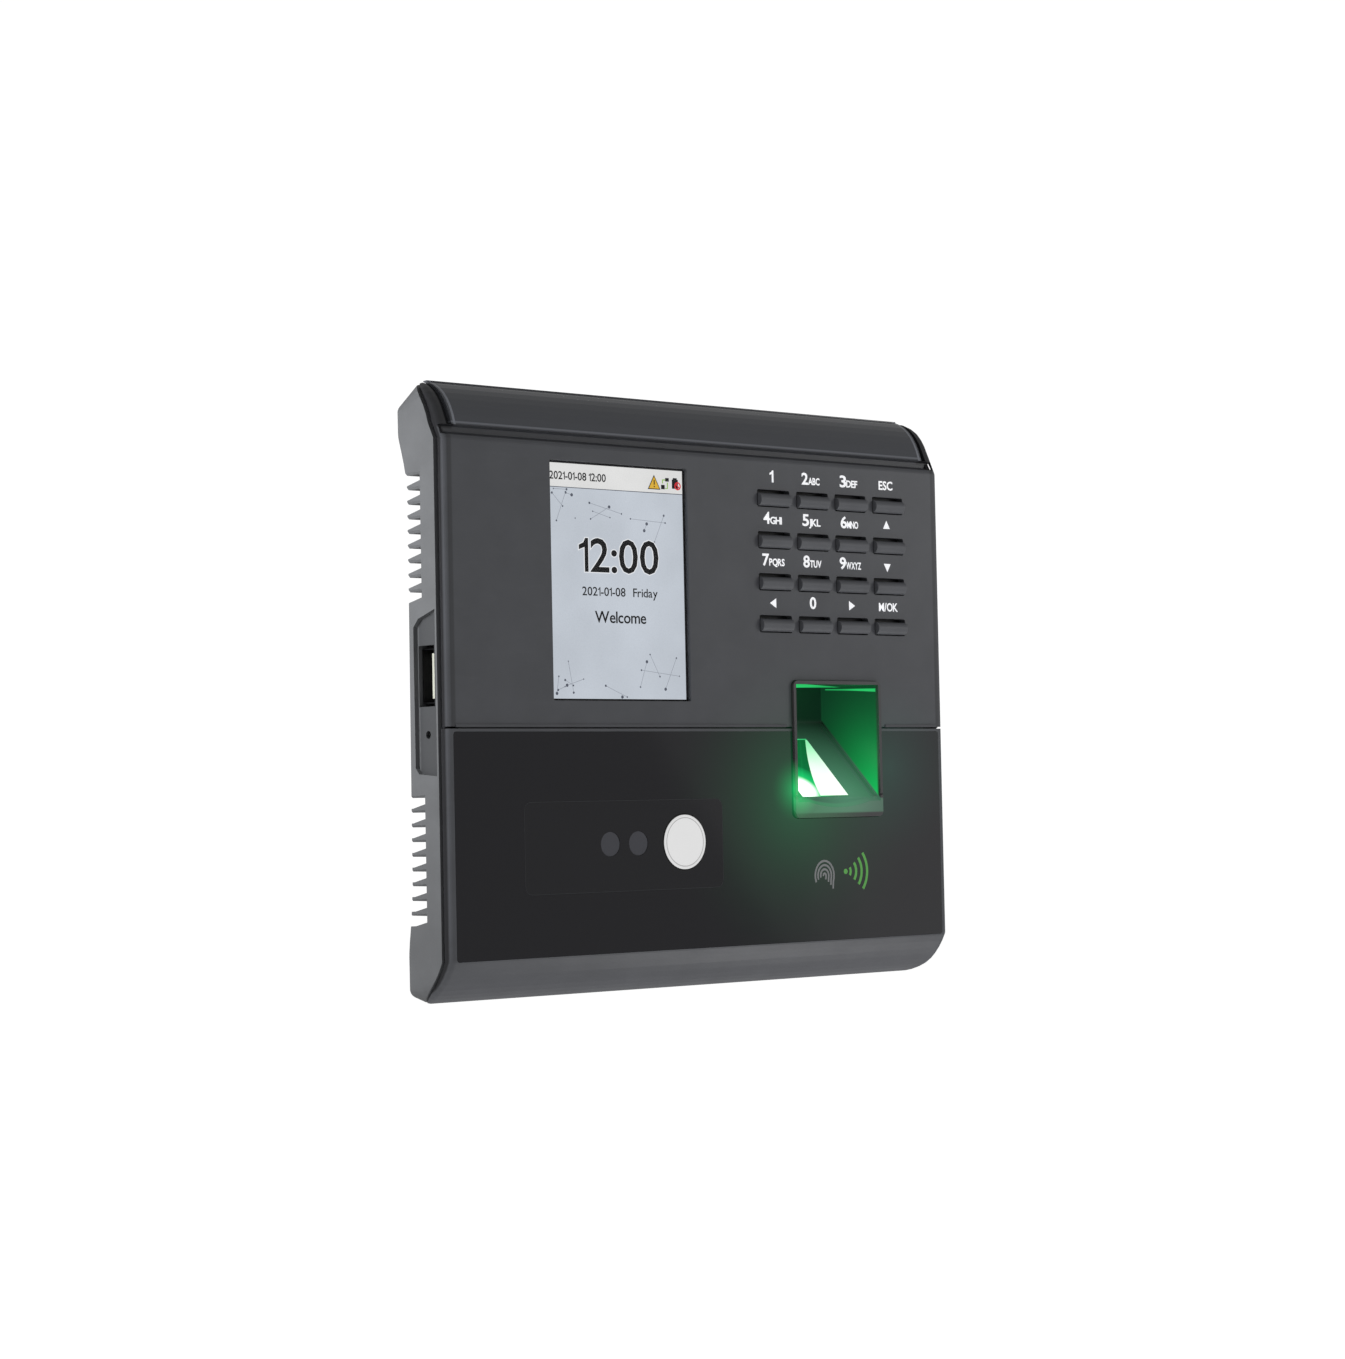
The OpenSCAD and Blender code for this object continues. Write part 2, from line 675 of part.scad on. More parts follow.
module board_chips() color([0.12, 0.12, 0.12]) {
    rear = board_d[1] + 0.02;
    block([-38, -24], [rear, rear + 1.3], [22, 36]);
    block([-20, -10], [rear, rear + 1.1], [24, 38]);
    block([-20, -9], [rear, rear + 1.1], [10, 20]);
    block([-38, -30], [rear, rear + 1.2], [8, 16]);
    for (z = [19, 28, 37]) rod_d(-5, z, 3.1, [rear, rear + 8]);
}

module keypad_board() color("green") difference() {
    block([15, 74], [5.6, 6.8], [14, 53.4]);
    for (x = [16.6, 72.4], z = [20, 46]) rod_d(x, z, 1.1, [5, 8]);
}

module key_domes() color("silver") for (row = [0:3], col = [0:3])
    rod_d(key_place(row, col)[0], key_place(row, col)[1], 2.2, [5.1, 5.55]);

// A half-round bar that stands out of the face, a flange that keeps it in, and a stem.
module key(row, col) color("dimgray") {
    c = key_place(row, col);
    w = slot_w - 2*key_gap;
    z = [c[1] - slot_h/2 + key_gap, c[1] + slot_h/2 - key_gap_top];
    h = z[1] - z[0];
    bar_r = (h*h/4 + key_rise*key_rise) / (2*key_rise);
    intersection() {
        along_x([c[0] - w/2, c[0] + w/2])
            translate([bar_r - key_rise, (z[0] + z[1])/2]) circle(bar_r, $fn = 96);
        block([-far, far], [-5, 0.3], z);
    }
    block([c[0] - w/2, c[0] + w/2], [0, upper_wall + 0.25], z);
    block([c[0] - slot_w/2 - 0.5, c[0] + slot_w/2 + 0.5], [upper_wall + 0.2, upper_wall + 1],
          [c[1] - slot_h/2 - 0.5, c[1] + slot_h/2 + 0.5]);
    rod_d(c[0], c[1], 1.5, [upper_wall + 1, 5.05 - key_travel]);
}

module usb_shell() color("silver") difference() {
    block([side_usb_x, side_usb_x + 14], [side_usb[0] - 2.45, side_usb[0] + 2.85],
          [side_usb[1] - 6.55, side_usb[1] + 6.55]);
    block([side_usb_x - 1, side_usb_x + 13.2], [side_usb[0] - 2.15, side_usb[0] + 2.55],
          [side_usb[1] - 6.25, side_usb[1] + 6.25]);
}

module usb_tongue() color("ivory")
    block([side_usb_x + 0.5, side_usb_x + 13.1], [side_usb[0] - 2.1, side_usb[0] - 0.4],
          [side_usb[1] - 5.4, side_usb[1] + 5.4]);

module ethernet_jack() color("silver") difference() {
    block([-30, -14], [6.05, 19.5], [-22, -1]);
    block([-27.9, -16.1], [7.6, 14.6], [-23, -6]);
    block([-25, -19], [14.5, 17], [-23, -10]);
}

module power_jack() color([0.1, 0.1, 0.1]) {
    difference() {
        block([-47, -38], [6.05, 17], [-22, -8]);
        rod_z(-42.5, 12, 3.2, [-23, -11]);
    }
    rod_z(-42.5, 12, 1, [-21, -10.9]);
}

module terminal_block() color("forestgreen") difference() {
    block([-12, 4.5], [6.05, 15], [-22.5, -12]);
    for (x = [-9.9 : 4.1 : 3]) {
        block([x - 1.6, x + 1.6], [7, 10.2], [-23, -15]);
        rod_d(x, -17, 1.4, [12.5, 16]);
    }
}

module reset_switch() color("dimgray")
    block([-76.4, -71.4], [6.05, 10.2], [pin_place[1] - 2.1, pin_place[1] + 2.1]);

module reset_button() color("white") rod_x([-78.2, -76.8], pin_place[0], pin_place[1], 1.2);

module tamper_switch() color("dimgray")
    block([tamper_place[0] - 3, tamper_place[0] + 3], [6.05, 12], [tamper_place[1] - 3, tamper_place[1] + 3]);

module tamper_plunger() color("white") {
    rod_d(tamper_place[0], tamper_place[1], 1.9, [13, face_depth - plate_t - 0.05]);
    rod_d(tamper_place[0], tamper_place[1], 2.8, [24.5, 25.5]);
}

module speaker() color([0.2, 0.2, 0.2]) difference() {
    union() {
        rod_d(66, -44, 13, [3, 4.8]);
        rod_d(66, -44, 8, [4.8, 8.2]);
    }
    rod_d(66, -44, 11.4, [2, 3.8]);
}

module battery() color("royalblue") along_d([3.6, 10.4]) round_rect([28, -52], 44, 26, 1.5);

module coin_cell() color("silver") rod_d(-48, 38, 10, [6.05, 9.6]);

module housing_screws() color("silver") for (p = screw_places) difference() {
    union() {
        rod_d(p[0], p[1], housing_screw_r, [4, screw_seat + 0.5]);
        rod_d(p[0], p[1], 2.7, [screw_seat + 0.02, screw_seat + 1.9]);
    }
    rod_d(p[0], p[1], 1.4, [screw_seat + 0.9, 20], $fn = 6);
}

module board_screws() color("silver") for (p = board_screw_places) {
    rod_d(p[0], p[1], board_screw_r, [2.6, board_d[1] + 0.5]);
    rod_d(p[0], p[1], 2.6, [board_d[1] + 0.02, board_d[1] + 1.6]);
}

module ribbon_cables() color("orange") {
    thick = 0.3;
    // display: over the top edge of the main board
    block([-36, -22], [4.5, 7], [board_z[1] + 0.6, board_z[1] + 0.6 + thick]);
    block([-36, -22], [7 - thick, 7], [board_z[1] - 8, board_z[1] + 0.6]);
    // keypad: across the gap between the boards
    block([6, 20], [7.2, 7.2 + thick], [40, 52]);
    // scanner: from the scanner's board to the main board
    block([9.2, 30.9], [25.6, 25.6 + thick], [-24, -20.4]);
    block([9.2, 9.2 + thick], [6.2, 25.6], [-24, -20.4]);
    // camera: from the camera's board to the main board
    block([-55, -49], [11, 11 + thick], [-34, -23.2]);
    block([-55, -49], [6.3, 11], [-23.2 - thick, -23.2]);
}

module screw_insert() color("goldenrod") difference() {
    rod_z(lock[0], lock[1], 3.2, [pod[1][0] + pod_t + 0.1, pod[1][0] + 8.6]);
    rod_z(lock[0], lock[1], 1.7, [pod[1][0], pod[1][0] + 10]);
}

wall_plate();
security_screw();
rear_cover();
upper_front_cover();
lower_front_cover();
housing_seal();
visor();
gloss_panel();
smoked_window();
light_lens();
light_board();
lens_covers();
camera_module();
camera_board();
infrared_leds();
display_window();
display_gasket();
display_module();
scanner_bezel();
scanner_prism();
scanner_chamber();
scanner_board();
scanner_leds();
main_board();
board_chips();
keypad_board();
key_domes();
for (row = [0:3], col = [0:3])
    key(row, col);
usb_shell();
usb_tongue();
ethernet_jack();
power_jack();
terminal_block();
reset_switch();
reset_button();
tamper_switch();
tamper_plunger();
speaker();
battery();
coin_cell();
housing_screws();
board_screws();
ribbon_cables();
screw_insert();
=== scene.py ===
"""Looks of the fingerprint scanner terminal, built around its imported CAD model.

Metres, in the CAD frame: +X to the right as seen from the front, +Y into the wall,
+Z up. Heights and places come from the boxes of the CAD nodes.
"""

import math
import random

import bmesh
import bpy
from mathutils import Matrix, Vector


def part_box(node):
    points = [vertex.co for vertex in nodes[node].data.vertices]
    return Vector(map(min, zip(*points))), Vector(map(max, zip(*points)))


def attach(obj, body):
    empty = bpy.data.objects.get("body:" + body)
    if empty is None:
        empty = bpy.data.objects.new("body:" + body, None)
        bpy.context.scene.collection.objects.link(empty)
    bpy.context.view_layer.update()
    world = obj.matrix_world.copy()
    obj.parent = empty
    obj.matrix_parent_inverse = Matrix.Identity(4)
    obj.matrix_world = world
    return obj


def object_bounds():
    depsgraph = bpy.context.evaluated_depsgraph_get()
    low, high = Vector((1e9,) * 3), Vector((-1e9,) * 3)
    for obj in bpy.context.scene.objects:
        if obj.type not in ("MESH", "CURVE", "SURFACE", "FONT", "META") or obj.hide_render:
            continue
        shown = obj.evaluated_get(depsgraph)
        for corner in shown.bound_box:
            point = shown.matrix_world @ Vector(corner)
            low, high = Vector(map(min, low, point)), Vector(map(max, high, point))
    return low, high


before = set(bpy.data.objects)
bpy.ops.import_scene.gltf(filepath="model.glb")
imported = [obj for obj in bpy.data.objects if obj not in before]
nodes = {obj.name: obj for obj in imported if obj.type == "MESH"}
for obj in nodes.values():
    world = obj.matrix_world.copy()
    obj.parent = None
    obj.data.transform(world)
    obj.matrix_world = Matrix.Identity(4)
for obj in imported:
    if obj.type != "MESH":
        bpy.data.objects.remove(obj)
cad_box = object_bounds()
scene = bpy.context.scene

MM = 0.001
PRINT = 0.02 * MM            # thickness of ink and of other flat marks
KEYS = [
    "key_1", "key_2", "key_3", "key_esc",
    "key_4", "key_5", "key_6", "key_up",
    "key_7", "key_8", "key_9", "key_down",
    "key_left", "key_0", "key_right", "key_menu",
]


# ---------- Camera, where the case's straight edges lie as in the photo ----------

CAMERA_PLACE = (-0.5274, -0.6267, -0.0275)
CAMERA_FORWARD = (0.6535, 0.7559, 0.0389)
CAMERA_ROLL = -1.15
CAMERA_LENS = 83.42

scene.view_settings.view_transform = "Standard"

camera = bpy.data.objects.new("camera", bpy.data.cameras.new("camera"))
camera.data.lens = CAMERA_LENS
camera.data.sensor_width = 36
camera.data.clip_start = 0.01
camera.location = CAMERA_PLACE
aim = Vector(CAMERA_FORWARD).to_track_quat("-Z", "Y").to_matrix()
roll = Matrix.Rotation(math.radians(CAMERA_ROLL), 3, "Z")
camera.rotation_euler = (aim @ roll).to_euler()
scene.collection.objects.link(camera)
scene.camera = camera


# ---------- Places ----------

def middle(node):
    """The middle of a CAD node's box."""
    low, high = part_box(node)
    return (low + high) / 2


face_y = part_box("gloss_panel")[0].y          # the flat front face
screen_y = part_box("display_module")[0].y     # the front of the display module
picture = middle("display_window")
PICTURE_W = 43.2 * MM
PICTURE_H = 57.6 * MM
case_low, case_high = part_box("upper_front_cover")
visor_low, visor_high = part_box("visor")
HALF_W = case_high.x

bezel_low, bezel_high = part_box("scanner_bezel")
FLANGE_W = 2.9 * MM                          # the bezel's flange round the finger well
WELL_LEFT = bezel_low.x + FLANGE_W
WELL_RIGHT = bezel_high.x - FLANGE_W
WELL_TOP = bezel_high.z - FLANGE_W
LIP_H = 6.9 * MM
DECK_Z = bezel_low.z + LIP_H                 # where the sloping deck meets the face
DECK_ANGLE = math.radians(44)
deck_matrix = Matrix.Translation((0, face_y, DECK_Z)) @ Matrix.Rotation(DECK_ANGLE, 4, "X")


# ---------- Shader helpers ----------

class Shader:
    """A material whose texture coordinates are the object's own, in metres."""

    def __init__(self, name):
        self.material = bpy.data.materials.new(name)
        self.material.use_nodes = True
        self.tree = self.material.node_tree
        self.bsdf = self.tree.nodes["Principled BSDF"]
        self.place = self.add("ShaderNodeTexCoord").outputs["Object"]

    def add(self, kind, **settings):
        made = self.tree.nodes.new(kind)
        for key, value in settings.items():
            setattr(made, key, value)
        return made

    def put(self, value, socket):
        """Links an output to a socket, or sets a constant on it."""
        if isinstance(value, bpy.types.NodeSocket):
            self.tree.links.new(value, socket)
        else:
            socket.default_value = value

    def set(self, **values):
        """Sets sockets of the surface, named as in base_color."""
        for key, value in values.items():
            self.put(value, self.bsdf.inputs[key.replace("_", " ").title().replace("Ior", "IOR")])
        return self

    def stretched(self, stretch):
        """The object's coordinates, scaled on each axis."""
        mapping = self.add("ShaderNodeMapping")
        self.put(self.place, mapping.inputs["Vector"])
        mapping.inputs["Scale"].default_value = stretch
        return mapping.outputs["Vector"]

    def noise(self, size_mm, detail=3.0, roughness=0.5, stretch=None):
        made = self.add("ShaderNodeTexNoise")
        self.put(self.stretched(stretch) if stretch else self.place, made.inputs["Vector"])
        made.inputs["Scale"].default_value = 1 / (size_mm * MM)
        made.inputs["Detail"].default_value = detail
        made.inputs["Roughness"].default_value = roughness
        return made.outputs["Fac"]

    def cells(self, size_mm):
        made = self.add("ShaderNodeTexVoronoi")
        self.put(self.place, made.inputs["Vector"])
        made.inputs["Scale"].default_value = 1 / (size_mm * MM)
        return made.outputs["Distance"]

    def span(self, value, low, high, to_low=0.0, to_high=1.0, smooth=False):
        """The value, carried from one range to another and held at its ends."""
        made = self.add("ShaderNodeMapRange")
        if smooth:
            made.interpolation_type = "SMOOTHSTEP"
        self.put(value, made.inputs["Value"])
        for key, number in (("From Min", low), ("From Max", high), ("To Min", to_low),
                            ("To Max", to_high)):
            made.inputs[key].default_value = number
        return made.outputs["Result"]

    def mix(self, factor, first, second):
        made = self.add("ShaderNodeMix", data_type="RGBA")
        self.put(factor, made.inputs[0])
        self.put(first, made.inputs[6])
        self.put(second, made.inputs[7])
        return made.outputs[2]

    def math(self, operation, first, second=0.0):
        made = self.add("ShaderNodeMath", operation=operation)
        self.put(first, made.inputs[0])
        self.put(second, made.inputs[1])
        return made.outputs[0]

    def axis(self, name):
        made = self.add("ShaderNodeSeparateXYZ")
        self.put(self.place, made.inputs[0])
        return made.outputs[name]

    def distance(self, point):
        """Distance in metres from a point."""
        made = self.add("ShaderNodeVectorMath", operation="DISTANCE")
        self.put(self.place, made.inputs[0])
        self.put(point, made.inputs[1])
        return made.outputs["Value"]

    def within(self, value, low, high, soft_mm):
        """1 where the value lies between low and high, with soft edges."""
        soft = soft_mm * MM
        return self.math("MULTIPLY", self.span(value, low - soft, low, smooth=True),
                         self.span(value, high, high + soft, 1, 0, smooth=True))

    def total(self, *values):
        added = values[0]
        for value in values[1:]:
            added = self.math("ADD", added, value)
        return added

    def product(self, *values):
        made = values[0]
        for value in values[1:]:
            made = self.math("MULTIPLY", made, value)
        return made

    def near(self, point, reach_mm, power=1.0):
        """1 at the point, falling to 0 at the reach."""
        fall = self.span(self.distance(point), 0, reach_mm * MM, 1, 0)
        return self.math("POWER", fall, power)

    def sum_of_lights(self, *lights):
        """Sum of (factor, colour) pairs."""
        added = None
        for factor, colour in lights:
            scaled = self.mix(factor, (0, 0, 0, 1), colour)
            if added is None:
                added = scaled
                continue
            made = self.add("ShaderNodeMix", data_type="RGBA", blend_type="ADD")
            made.inputs[0].default_value = 1.0
            self.put(added, made.inputs[6])
            self.put(scaled, made.inputs[7])
            added = made.outputs[2]
        return added

    def bump(self, height, depth_mm, under=None):
        made = self.add("ShaderNodeBump")
        made.inputs["Distance"].default_value = depth_mm * MM
        self.put(height, made.inputs["Height"])
        if under is not None:
            self.put(under, made.inputs["Normal"])
        return made.outputs["Normal"]


def shade(colour, factor):
    """A lighter or darker shade of a colour."""
    return tuple(min(1.0, c * factor) for c in colour[:3]) + (1.0,)


def plastic(name, colour, roughness, grain_mm=0.28, grain_depth=0.006, glow=None, painted_shade=None,
            painted_shade_colour=(0.006, 0.006, 0.007, 1), **more):
    """Moulded plastic: spark-eroded grain, mottled colour, and faint handling marks.

    Its shade mask gives where shade is painted dark on the surface, and glow where spilt light is
    painted on it."""
    s = Shader(name)
    mottle = s.noise(9, detail=4)
    fine = s.noise(grain_mm, detail=2)
    marks = s.span(s.noise(3.2, detail=5, stretch=(0.35, 1, 1.6)), 0.55, 0.75)
    base = s.mix(s.span(mottle, 0.3, 0.7), shade(colour, 0.93), shade(colour, 1.07))
    base = s.mix(s.math("MULTIPLY", marks, 0.14), base, shade(colour, 1.5))
    # painted shade: the colour is darkened where the mask says shade falls
    if painted_shade:
        base = s.mix(painted_shade(s), base, painted_shade_colour)
    s.set(base_color=base,
          roughness=s.math("ADD", s.span(fine, 0.2, 0.8, roughness - 0.05, roughness + 0.05),
                           s.math("MULTIPLY", marks, 0.05)),
          normal=s.bump(fine, grain_depth, under=s.bump(mottle, 0.01)))
    # painted light: spilt light given as emission
    if glow:
        s.set(emission_color=glow(s), emission_strength=1.0)
    return s.set(**more).material


def polished(name, colour, roughness=0.06, glow=None, edges=None, **more):
    """Polished plastic or acrylic: nearly flat, with dust and wiping marks in the gloss.

    edges gives where its chamfers are, on which a paler colour is painted as their highlight."""
    s = Shader(name)
    wave = s.noise(26, detail=1)
    dust = s.span(s.noise(0.35, detail=4, roughness=0.7), 0.66, 0.78)
    wipes = s.noise(1.6, detail=4, stretch=(0.12, 1, 1))
    base = s.mix(s.math("MULTIPLY", dust, 0.25), colour, shade(colour, 3.0))
    if edges:
        # painted highlight: a paler colour on the chamfers
        base = s.mix(edges(s), base, shade(colour, 3.2))
    s.set(base_color=base,
          roughness=s.math("ADD", s.span(wipes, 0.3, 0.7, roughness, roughness + 0.03),
                           s.math("MULTIPLY", dust, 0.1)),
          normal=s.bump(wave, 0.02))
    if glow:
        s.set(emission_color=glow(s), emission_strength=1.0)
    return s.set(**more).material


def metal(name, colour, roughness, brush=(1, 1, 1), grain_mm=0.25, spangle=0.0):
    """Metal: brushed or rolled grain, tarnish in the colour, and spangle where it is plated."""
    s = Shader(name)
    lines = s.noise(grain_mm, detail=5, roughness=0.6, stretch=brush)
    tarnish = s.noise(7, detail=5)
    base = s.mix(s.span(tarnish, 0.3, 0.75), shade(colour, 1.04), shade(colour, 0.84))
    if spangle:
        flakes = s.cells(2.4)
        base = s.mix(s.span(flakes, 0.1, 0.7, 0, spangle), base, shade(colour, 1.3))
    s.set(base_color=base, metallic=1.0,
          roughness=s.math("ADD", s.span(lines, 0.25, 0.75, roughness - 0.07, roughness + 0.09),
                           s.span(tarnish, 0.4, 0.8, 0, 0.06)),
          normal=s.bump(lines, 0.008))
    return s.material


def rubber(name, colour):
    """Dull rubber with a fine, uneven surface."""
    s = Shader(name)
    fine = s.noise(0.2, detail=4, roughness=0.7)
    s.set(base_color=s.mix(s.noise(4), shade(colour, 0.8), shade(colour, 1.5)),
          roughness=s.span(fine, 0.2, 0.8, 0.72, 0.92), normal=s.bump(fine, 0.02))
    return s.material


def circuit_board(name):
    """Green solder mask over copper: traces, pads and the weave of the laminate."""
    s = Shader(name)
    weave = s.noise(0.4, detail=2, stretch=(1, 1, 3))
    lanes = s.add("ShaderNodeTexBrick")
    turned = s.add("ShaderNodeMapping")
    turned.inputs["Rotation"].default_value = (math.radians(90), 0, 0)
    s.put(s.place, turned.inputs["Vector"])
    s.put(turned.outputs["Vector"], lanes.inputs["Vector"])
    for key, value in (("Scale", 1 / (7 * MM)), ("Mortar Size", 0.035), ("Brick Width", 0.6),
                       ("Row Height", 0.14)):
        lanes.inputs[key].default_value = value
    pads = s.span(s.cells(2.6), 0.16, 0.2, 1, 0)
    copper = s.span(s.noise(5, detail=1), 0.48, 0.52)
    traces = s.math("MULTIPLY", lanes.outputs["Fac"], copper)
    mask = s.mix(weave, (0.004, 0.055, 0.02, 1), (0.008, 0.085, 0.032, 1))
    colour = s.mix(s.math("MULTIPLY", traces, 0.7), mask, (0.02, 0.16, 0.06, 1))
    s.set(base_color=s.mix(pads, colour, (0.55, 0.5, 0.38, 1)), metallic=s.math("MULTIPLY", pads, 0.8),
          roughness=s.span(weave, 0.2, 0.8, 0.26, 0.4),
          normal=s.bump(s.math("ADD", traces, pads), 0.03, under=s.bump(weave, 0.01)))
    return s.material


def ink(name, colour, roughness=0.5, wear=0.12):
    """Printed ink, a little thinner in places."""
    s = Shader(name)
    thin = s.span(s.noise(0.5, detail=4), 0.35, 0.7)
    s.set(base_color=s.mix(s.math("MULTIPLY", thin, wear), colour, shade(colour, 0.5)),
          roughness=s.span(thin, 0, 1, roughness, roughness + 0.15),
          normal=s.bump(thin, 0.01))
    return s.material


def lit(name, colour, strength=1.0, grid=0.0, base=(0.01, 0.01, 0.01, 1), uneven=0.05):
    """A lit surface, such as a display's picture, with a slight unevenness of its light."""
    s = Shader(name)
    cloud = s.noise(16, detail=2)
    light = s.mix(s.span(cloud, 0.3, 0.7), shade(colour, 1 - uneven), shade(colour, 1 + uneven))
    if grid:
        dots = s.cells(grid)
        light = s.mix(s.span(dots, 0.2, 0.8, 0, 0.06), light, (0, 0, 0, 1))
    s.set(base_color=base, emission_color=light, emission_strength=strength, roughness=0.4,
          specular_ior_level=0.15)
    return s.material


def clear_glass(name, tint, alpha=0.045, roughness=0.03):
    """Thin clear glass: nearly see-through, with dust that dulls its reflection."""
    s = Shader(name)
    dust = s.span(s.noise(0.5, detail=4, roughness=0.7), 0.68, 0.8)
    s.set(base_color=s.mix(dust, tint, shade(tint, 3.0)), alpha=alpha,
          roughness=s.math("ADD", s.math("MULTIPLY", dust, 0.12), roughness))
    return s.material


# ---------- Places in painted shade, and the scanner's green light painted where it falls ---

def front_painted_shade(s):
    """Painted shade in the hollow beside the rim, on the cover's side, and in the channel round the
    visor's ends.
    """
    side = s.math("ABSOLUTE", s.axis("X"))
    hollow = s.product(s.within(side, HALF_W - 2.75 * MM, HALF_W - 2.0 * MM, 0.55), 0.45,
                       s.span(s.axis("Z"), case_low.z - 0.3 * MM, case_low.z))
    flank = s.product(s.span(side, HALF_W - 0.6 * MM, HALF_W - 0.3 * MM), 0.9)
    above = s.span(s.axis("Z"), visor_low.z - 1.2 * MM, visor_low.z - 0.6 * MM)
    channel = s.product(s.span(side, HALF_W - 5.5 * MM, HALF_W - 5.2 * MM), above, 0.8)
    return s.math("MAXIMUM", s.math("MAXIMUM", hollow, flank), channel)


def visor_chamfer_highlight(s):
    """Painted highlight on the chamfers at the visor's ends and along its lower edge."""
    side = s.math("ABSOLUTE", s.axis("X"))
    ends = s.within(side, visor_high.x - 1.1 * MM, visor_high.x - 0.55 * MM, 0.15)
    lower = s.within(s.axis("Z"), visor_low.z + 0.45 * MM, visor_low.z + 0.8 * MM, 0.15)
    return s.math("MAXIMUM", ends, s.math("MULTIPLY", lower, 0.6))


def key_slot_shade(s):
    """Painted shade on the part of a key below the face, in its slot."""
    return s.span(s.axis("Y"), face_y + 0.05 * MM, face_y + 0.3 * MM)


RECESS_BOTTOM = -19.8 * MM
RECESS_TOP = 18.0 * MM


def recess_painted_shade(s):
    """Painted shade on the floor of the side recess."""
    return s.product(s.within(s.axis("X"), -HALF_W + 1.1 * MM, -HALF_W + 2.0 * MM, 0.15),
                     s.within(s.axis("Z"), RECESS_BOTTOM, RECESS_TOP, 0.6),
                     s.within(s.axis("Y"), face_y + 3 * MM, face_y + 11.2 * MM, 0.3), 0.9)


spill_point = (bezel_low.x + 3 * MM, face_y, bezel_low.z + 7 * MM)
halo_point = (WELL_LEFT - 0.2 * MM, face_y, DECK_Z + 2.6 * MM)
right_point = (WELL_RIGHT + 4 * MM, face_y, DECK_Z + 8 * MM)


def front_spill(strength, reach_mm):
    """The scanner's green light, painted as a glow on the front near the scanner."""
    def glow(s):
        return s.sum_of_lights(
            (s.near(spill_point, reach_mm, 2.6), (0.004, strength, strength / 3, 1)),
            (s.near(halo_point, 9, 2.0), (0.003, 0.30, 0.075, 1)),
            (s.near(right_point, 26, 1.6), (0.004, 0.028, 0.020, 1)))
    return glow


def above_deck(s):
    """Height above the sloping deck."""
    offset = face_y * math.sin(DECK_ANGLE) - DECK_Z * math.cos(DECK_ANGLE)
    return s.total(s.math("MULTIPLY", s.axis("Z"), math.cos(DECK_ANGLE)),
                   s.math("MULTIPLY", s.axis("Y"), -math.sin(DECK_ANGLE)), offset)


def well_painted_shade(s):
    """Painted shade on the well's walls and back, above the deck."""
    return s.product(s.span(s.axis("Y"), face_y - 0.3 * MM, face_y + 0.6 * MM),
                     s.span(above_deck(s), 0.3 * MM, 0.9 * MM, 0.6, 0.95))


def well_glow(s):
    """Painted light of the platen on the right wall, the deck, the back wall and the lip."""
    height = above_deck(s)
    inside = s.span(s.axis("Y"), face_y - 0.2 * MM, face_y + 0.5 * MM)
    over = s.span(height, 0.25 * MM, 0.7 * MM)
    wall = s.product(inside, over, s.span(s.axis("X"), WELL_RIGHT - 0.5 * MM,
                                          WELL_RIGHT - 0.1 * MM))
    wall_light = s.near((WELL_RIGHT, face_y + 1 * MM, DECK_Z - 1 * MM), 43, 3.0)
    deck = s.product(s.span(s.axis("Y"), face_y - 1.2 * MM, face_y - 0.7 * MM),
                     s.within(height, -1.9 * MM, 0.3 * MM, 0.4))
    deck_light = s.near((48 * MM, face_y + 2 * MM, DECK_Z + 2 * MM), 30, 1.2)
    lip = s.product(s.span(s.axis("Z"), DECK_Z + 0.6 * MM, DECK_Z - 0.6 * MM),
                    s.span(s.axis("Y"), face_y + 0.4 * MM, face_y + 0.1 * MM))
    lip_light = s.near((33 * MM, face_y, DECK_Z + 1 * MM), 23, 1.3)
    return s.sum_of_lights(
        (s.product(inside, over), (0.001, 0.012, 0.005, 1)),
        (wall, (0.002, 0.022, 0.008, 1)),
        (s.product(wall, wall_light), (0.003, 0.54, 0.10, 1)),
        (s.product(deck, deck_light), (0.068, 0.225, 0.130, 1)),
        (s.product(lip, lip_light), (0.002, 0.105, 0.028, 1)),
        (s.near(halo_point, 8, 1.4), (0.01, 0.55, 0.13, 1)))


# ---------- Materials of the CAD nodes ----------

FRONT = (0.057, 0.0595, 0.067, 1)
# SHELL is lighter than FRONT partly as painted light, for the brightly lit side of the case
SHELL = (0.0765, 0.079, 0.083, 1)

front_plastic = plastic("front_plastic", FRONT, 0.42, glow=front_spill(0.045, 46),
                        painted_shade=front_painted_shade)
shell_plastic = plastic("shell_plastic", SHELL, 0.48, grain_mm=0.35, grain_depth=0.01,
                        painted_shade=recess_painted_shade, painted_shade_colour=(0.020, 0.021, 0.023, 1))
visor_gloss = polished("visor_gloss", (0.056, 0.059, 0.067, 1), 0.2, edges=visor_chamfer_highlight)
panel_gloss = polished("panel_gloss", (0.0072, 0.0070, 0.0092, 1), 0.05,
                       glow=front_spill(0.078, 50))
smoked_acrylic = polished("smoked_acrylic", (0.0085, 0.0085, 0.0105, 1), 0.04)
lens_glass = polished("lens_glass", (0.050, 0.051, 0.060, 1), 0.12)
seal_rubber = rubber("seal_rubber", (0.010, 0.010, 0.012, 1))
diffuser = lit("light_diffuser", (0.50, 0.50, 0.50, 1), base=(0.3, 0.3, 0.3, 1), uneven=0.02)
window_glass = clear_glass("window_glass", (0.010, 0.011, 0.013, 1))
bezel_plastic = plastic("bezel_plastic", (0.046, 0.045, 0.047, 1), 0.34, glow=well_glow,
                        painted_shade=well_painted_shade, painted_shade_colour=(0.004, 0.016, 0.009, 1))
black_plastic = plastic("black_plastic", (0.012, 0.012, 0.013, 1), 0.5)
board = circuit_board("circuit_board")
led_epoxy = lit("led_epoxy", (0.10, 0.75, 0.28, 1), base=(0.3, 0.5, 0.35, 1))
infrared_epoxy = polished("infrared_epoxy", (0.010, 0.006, 0.014, 1), 0.1)
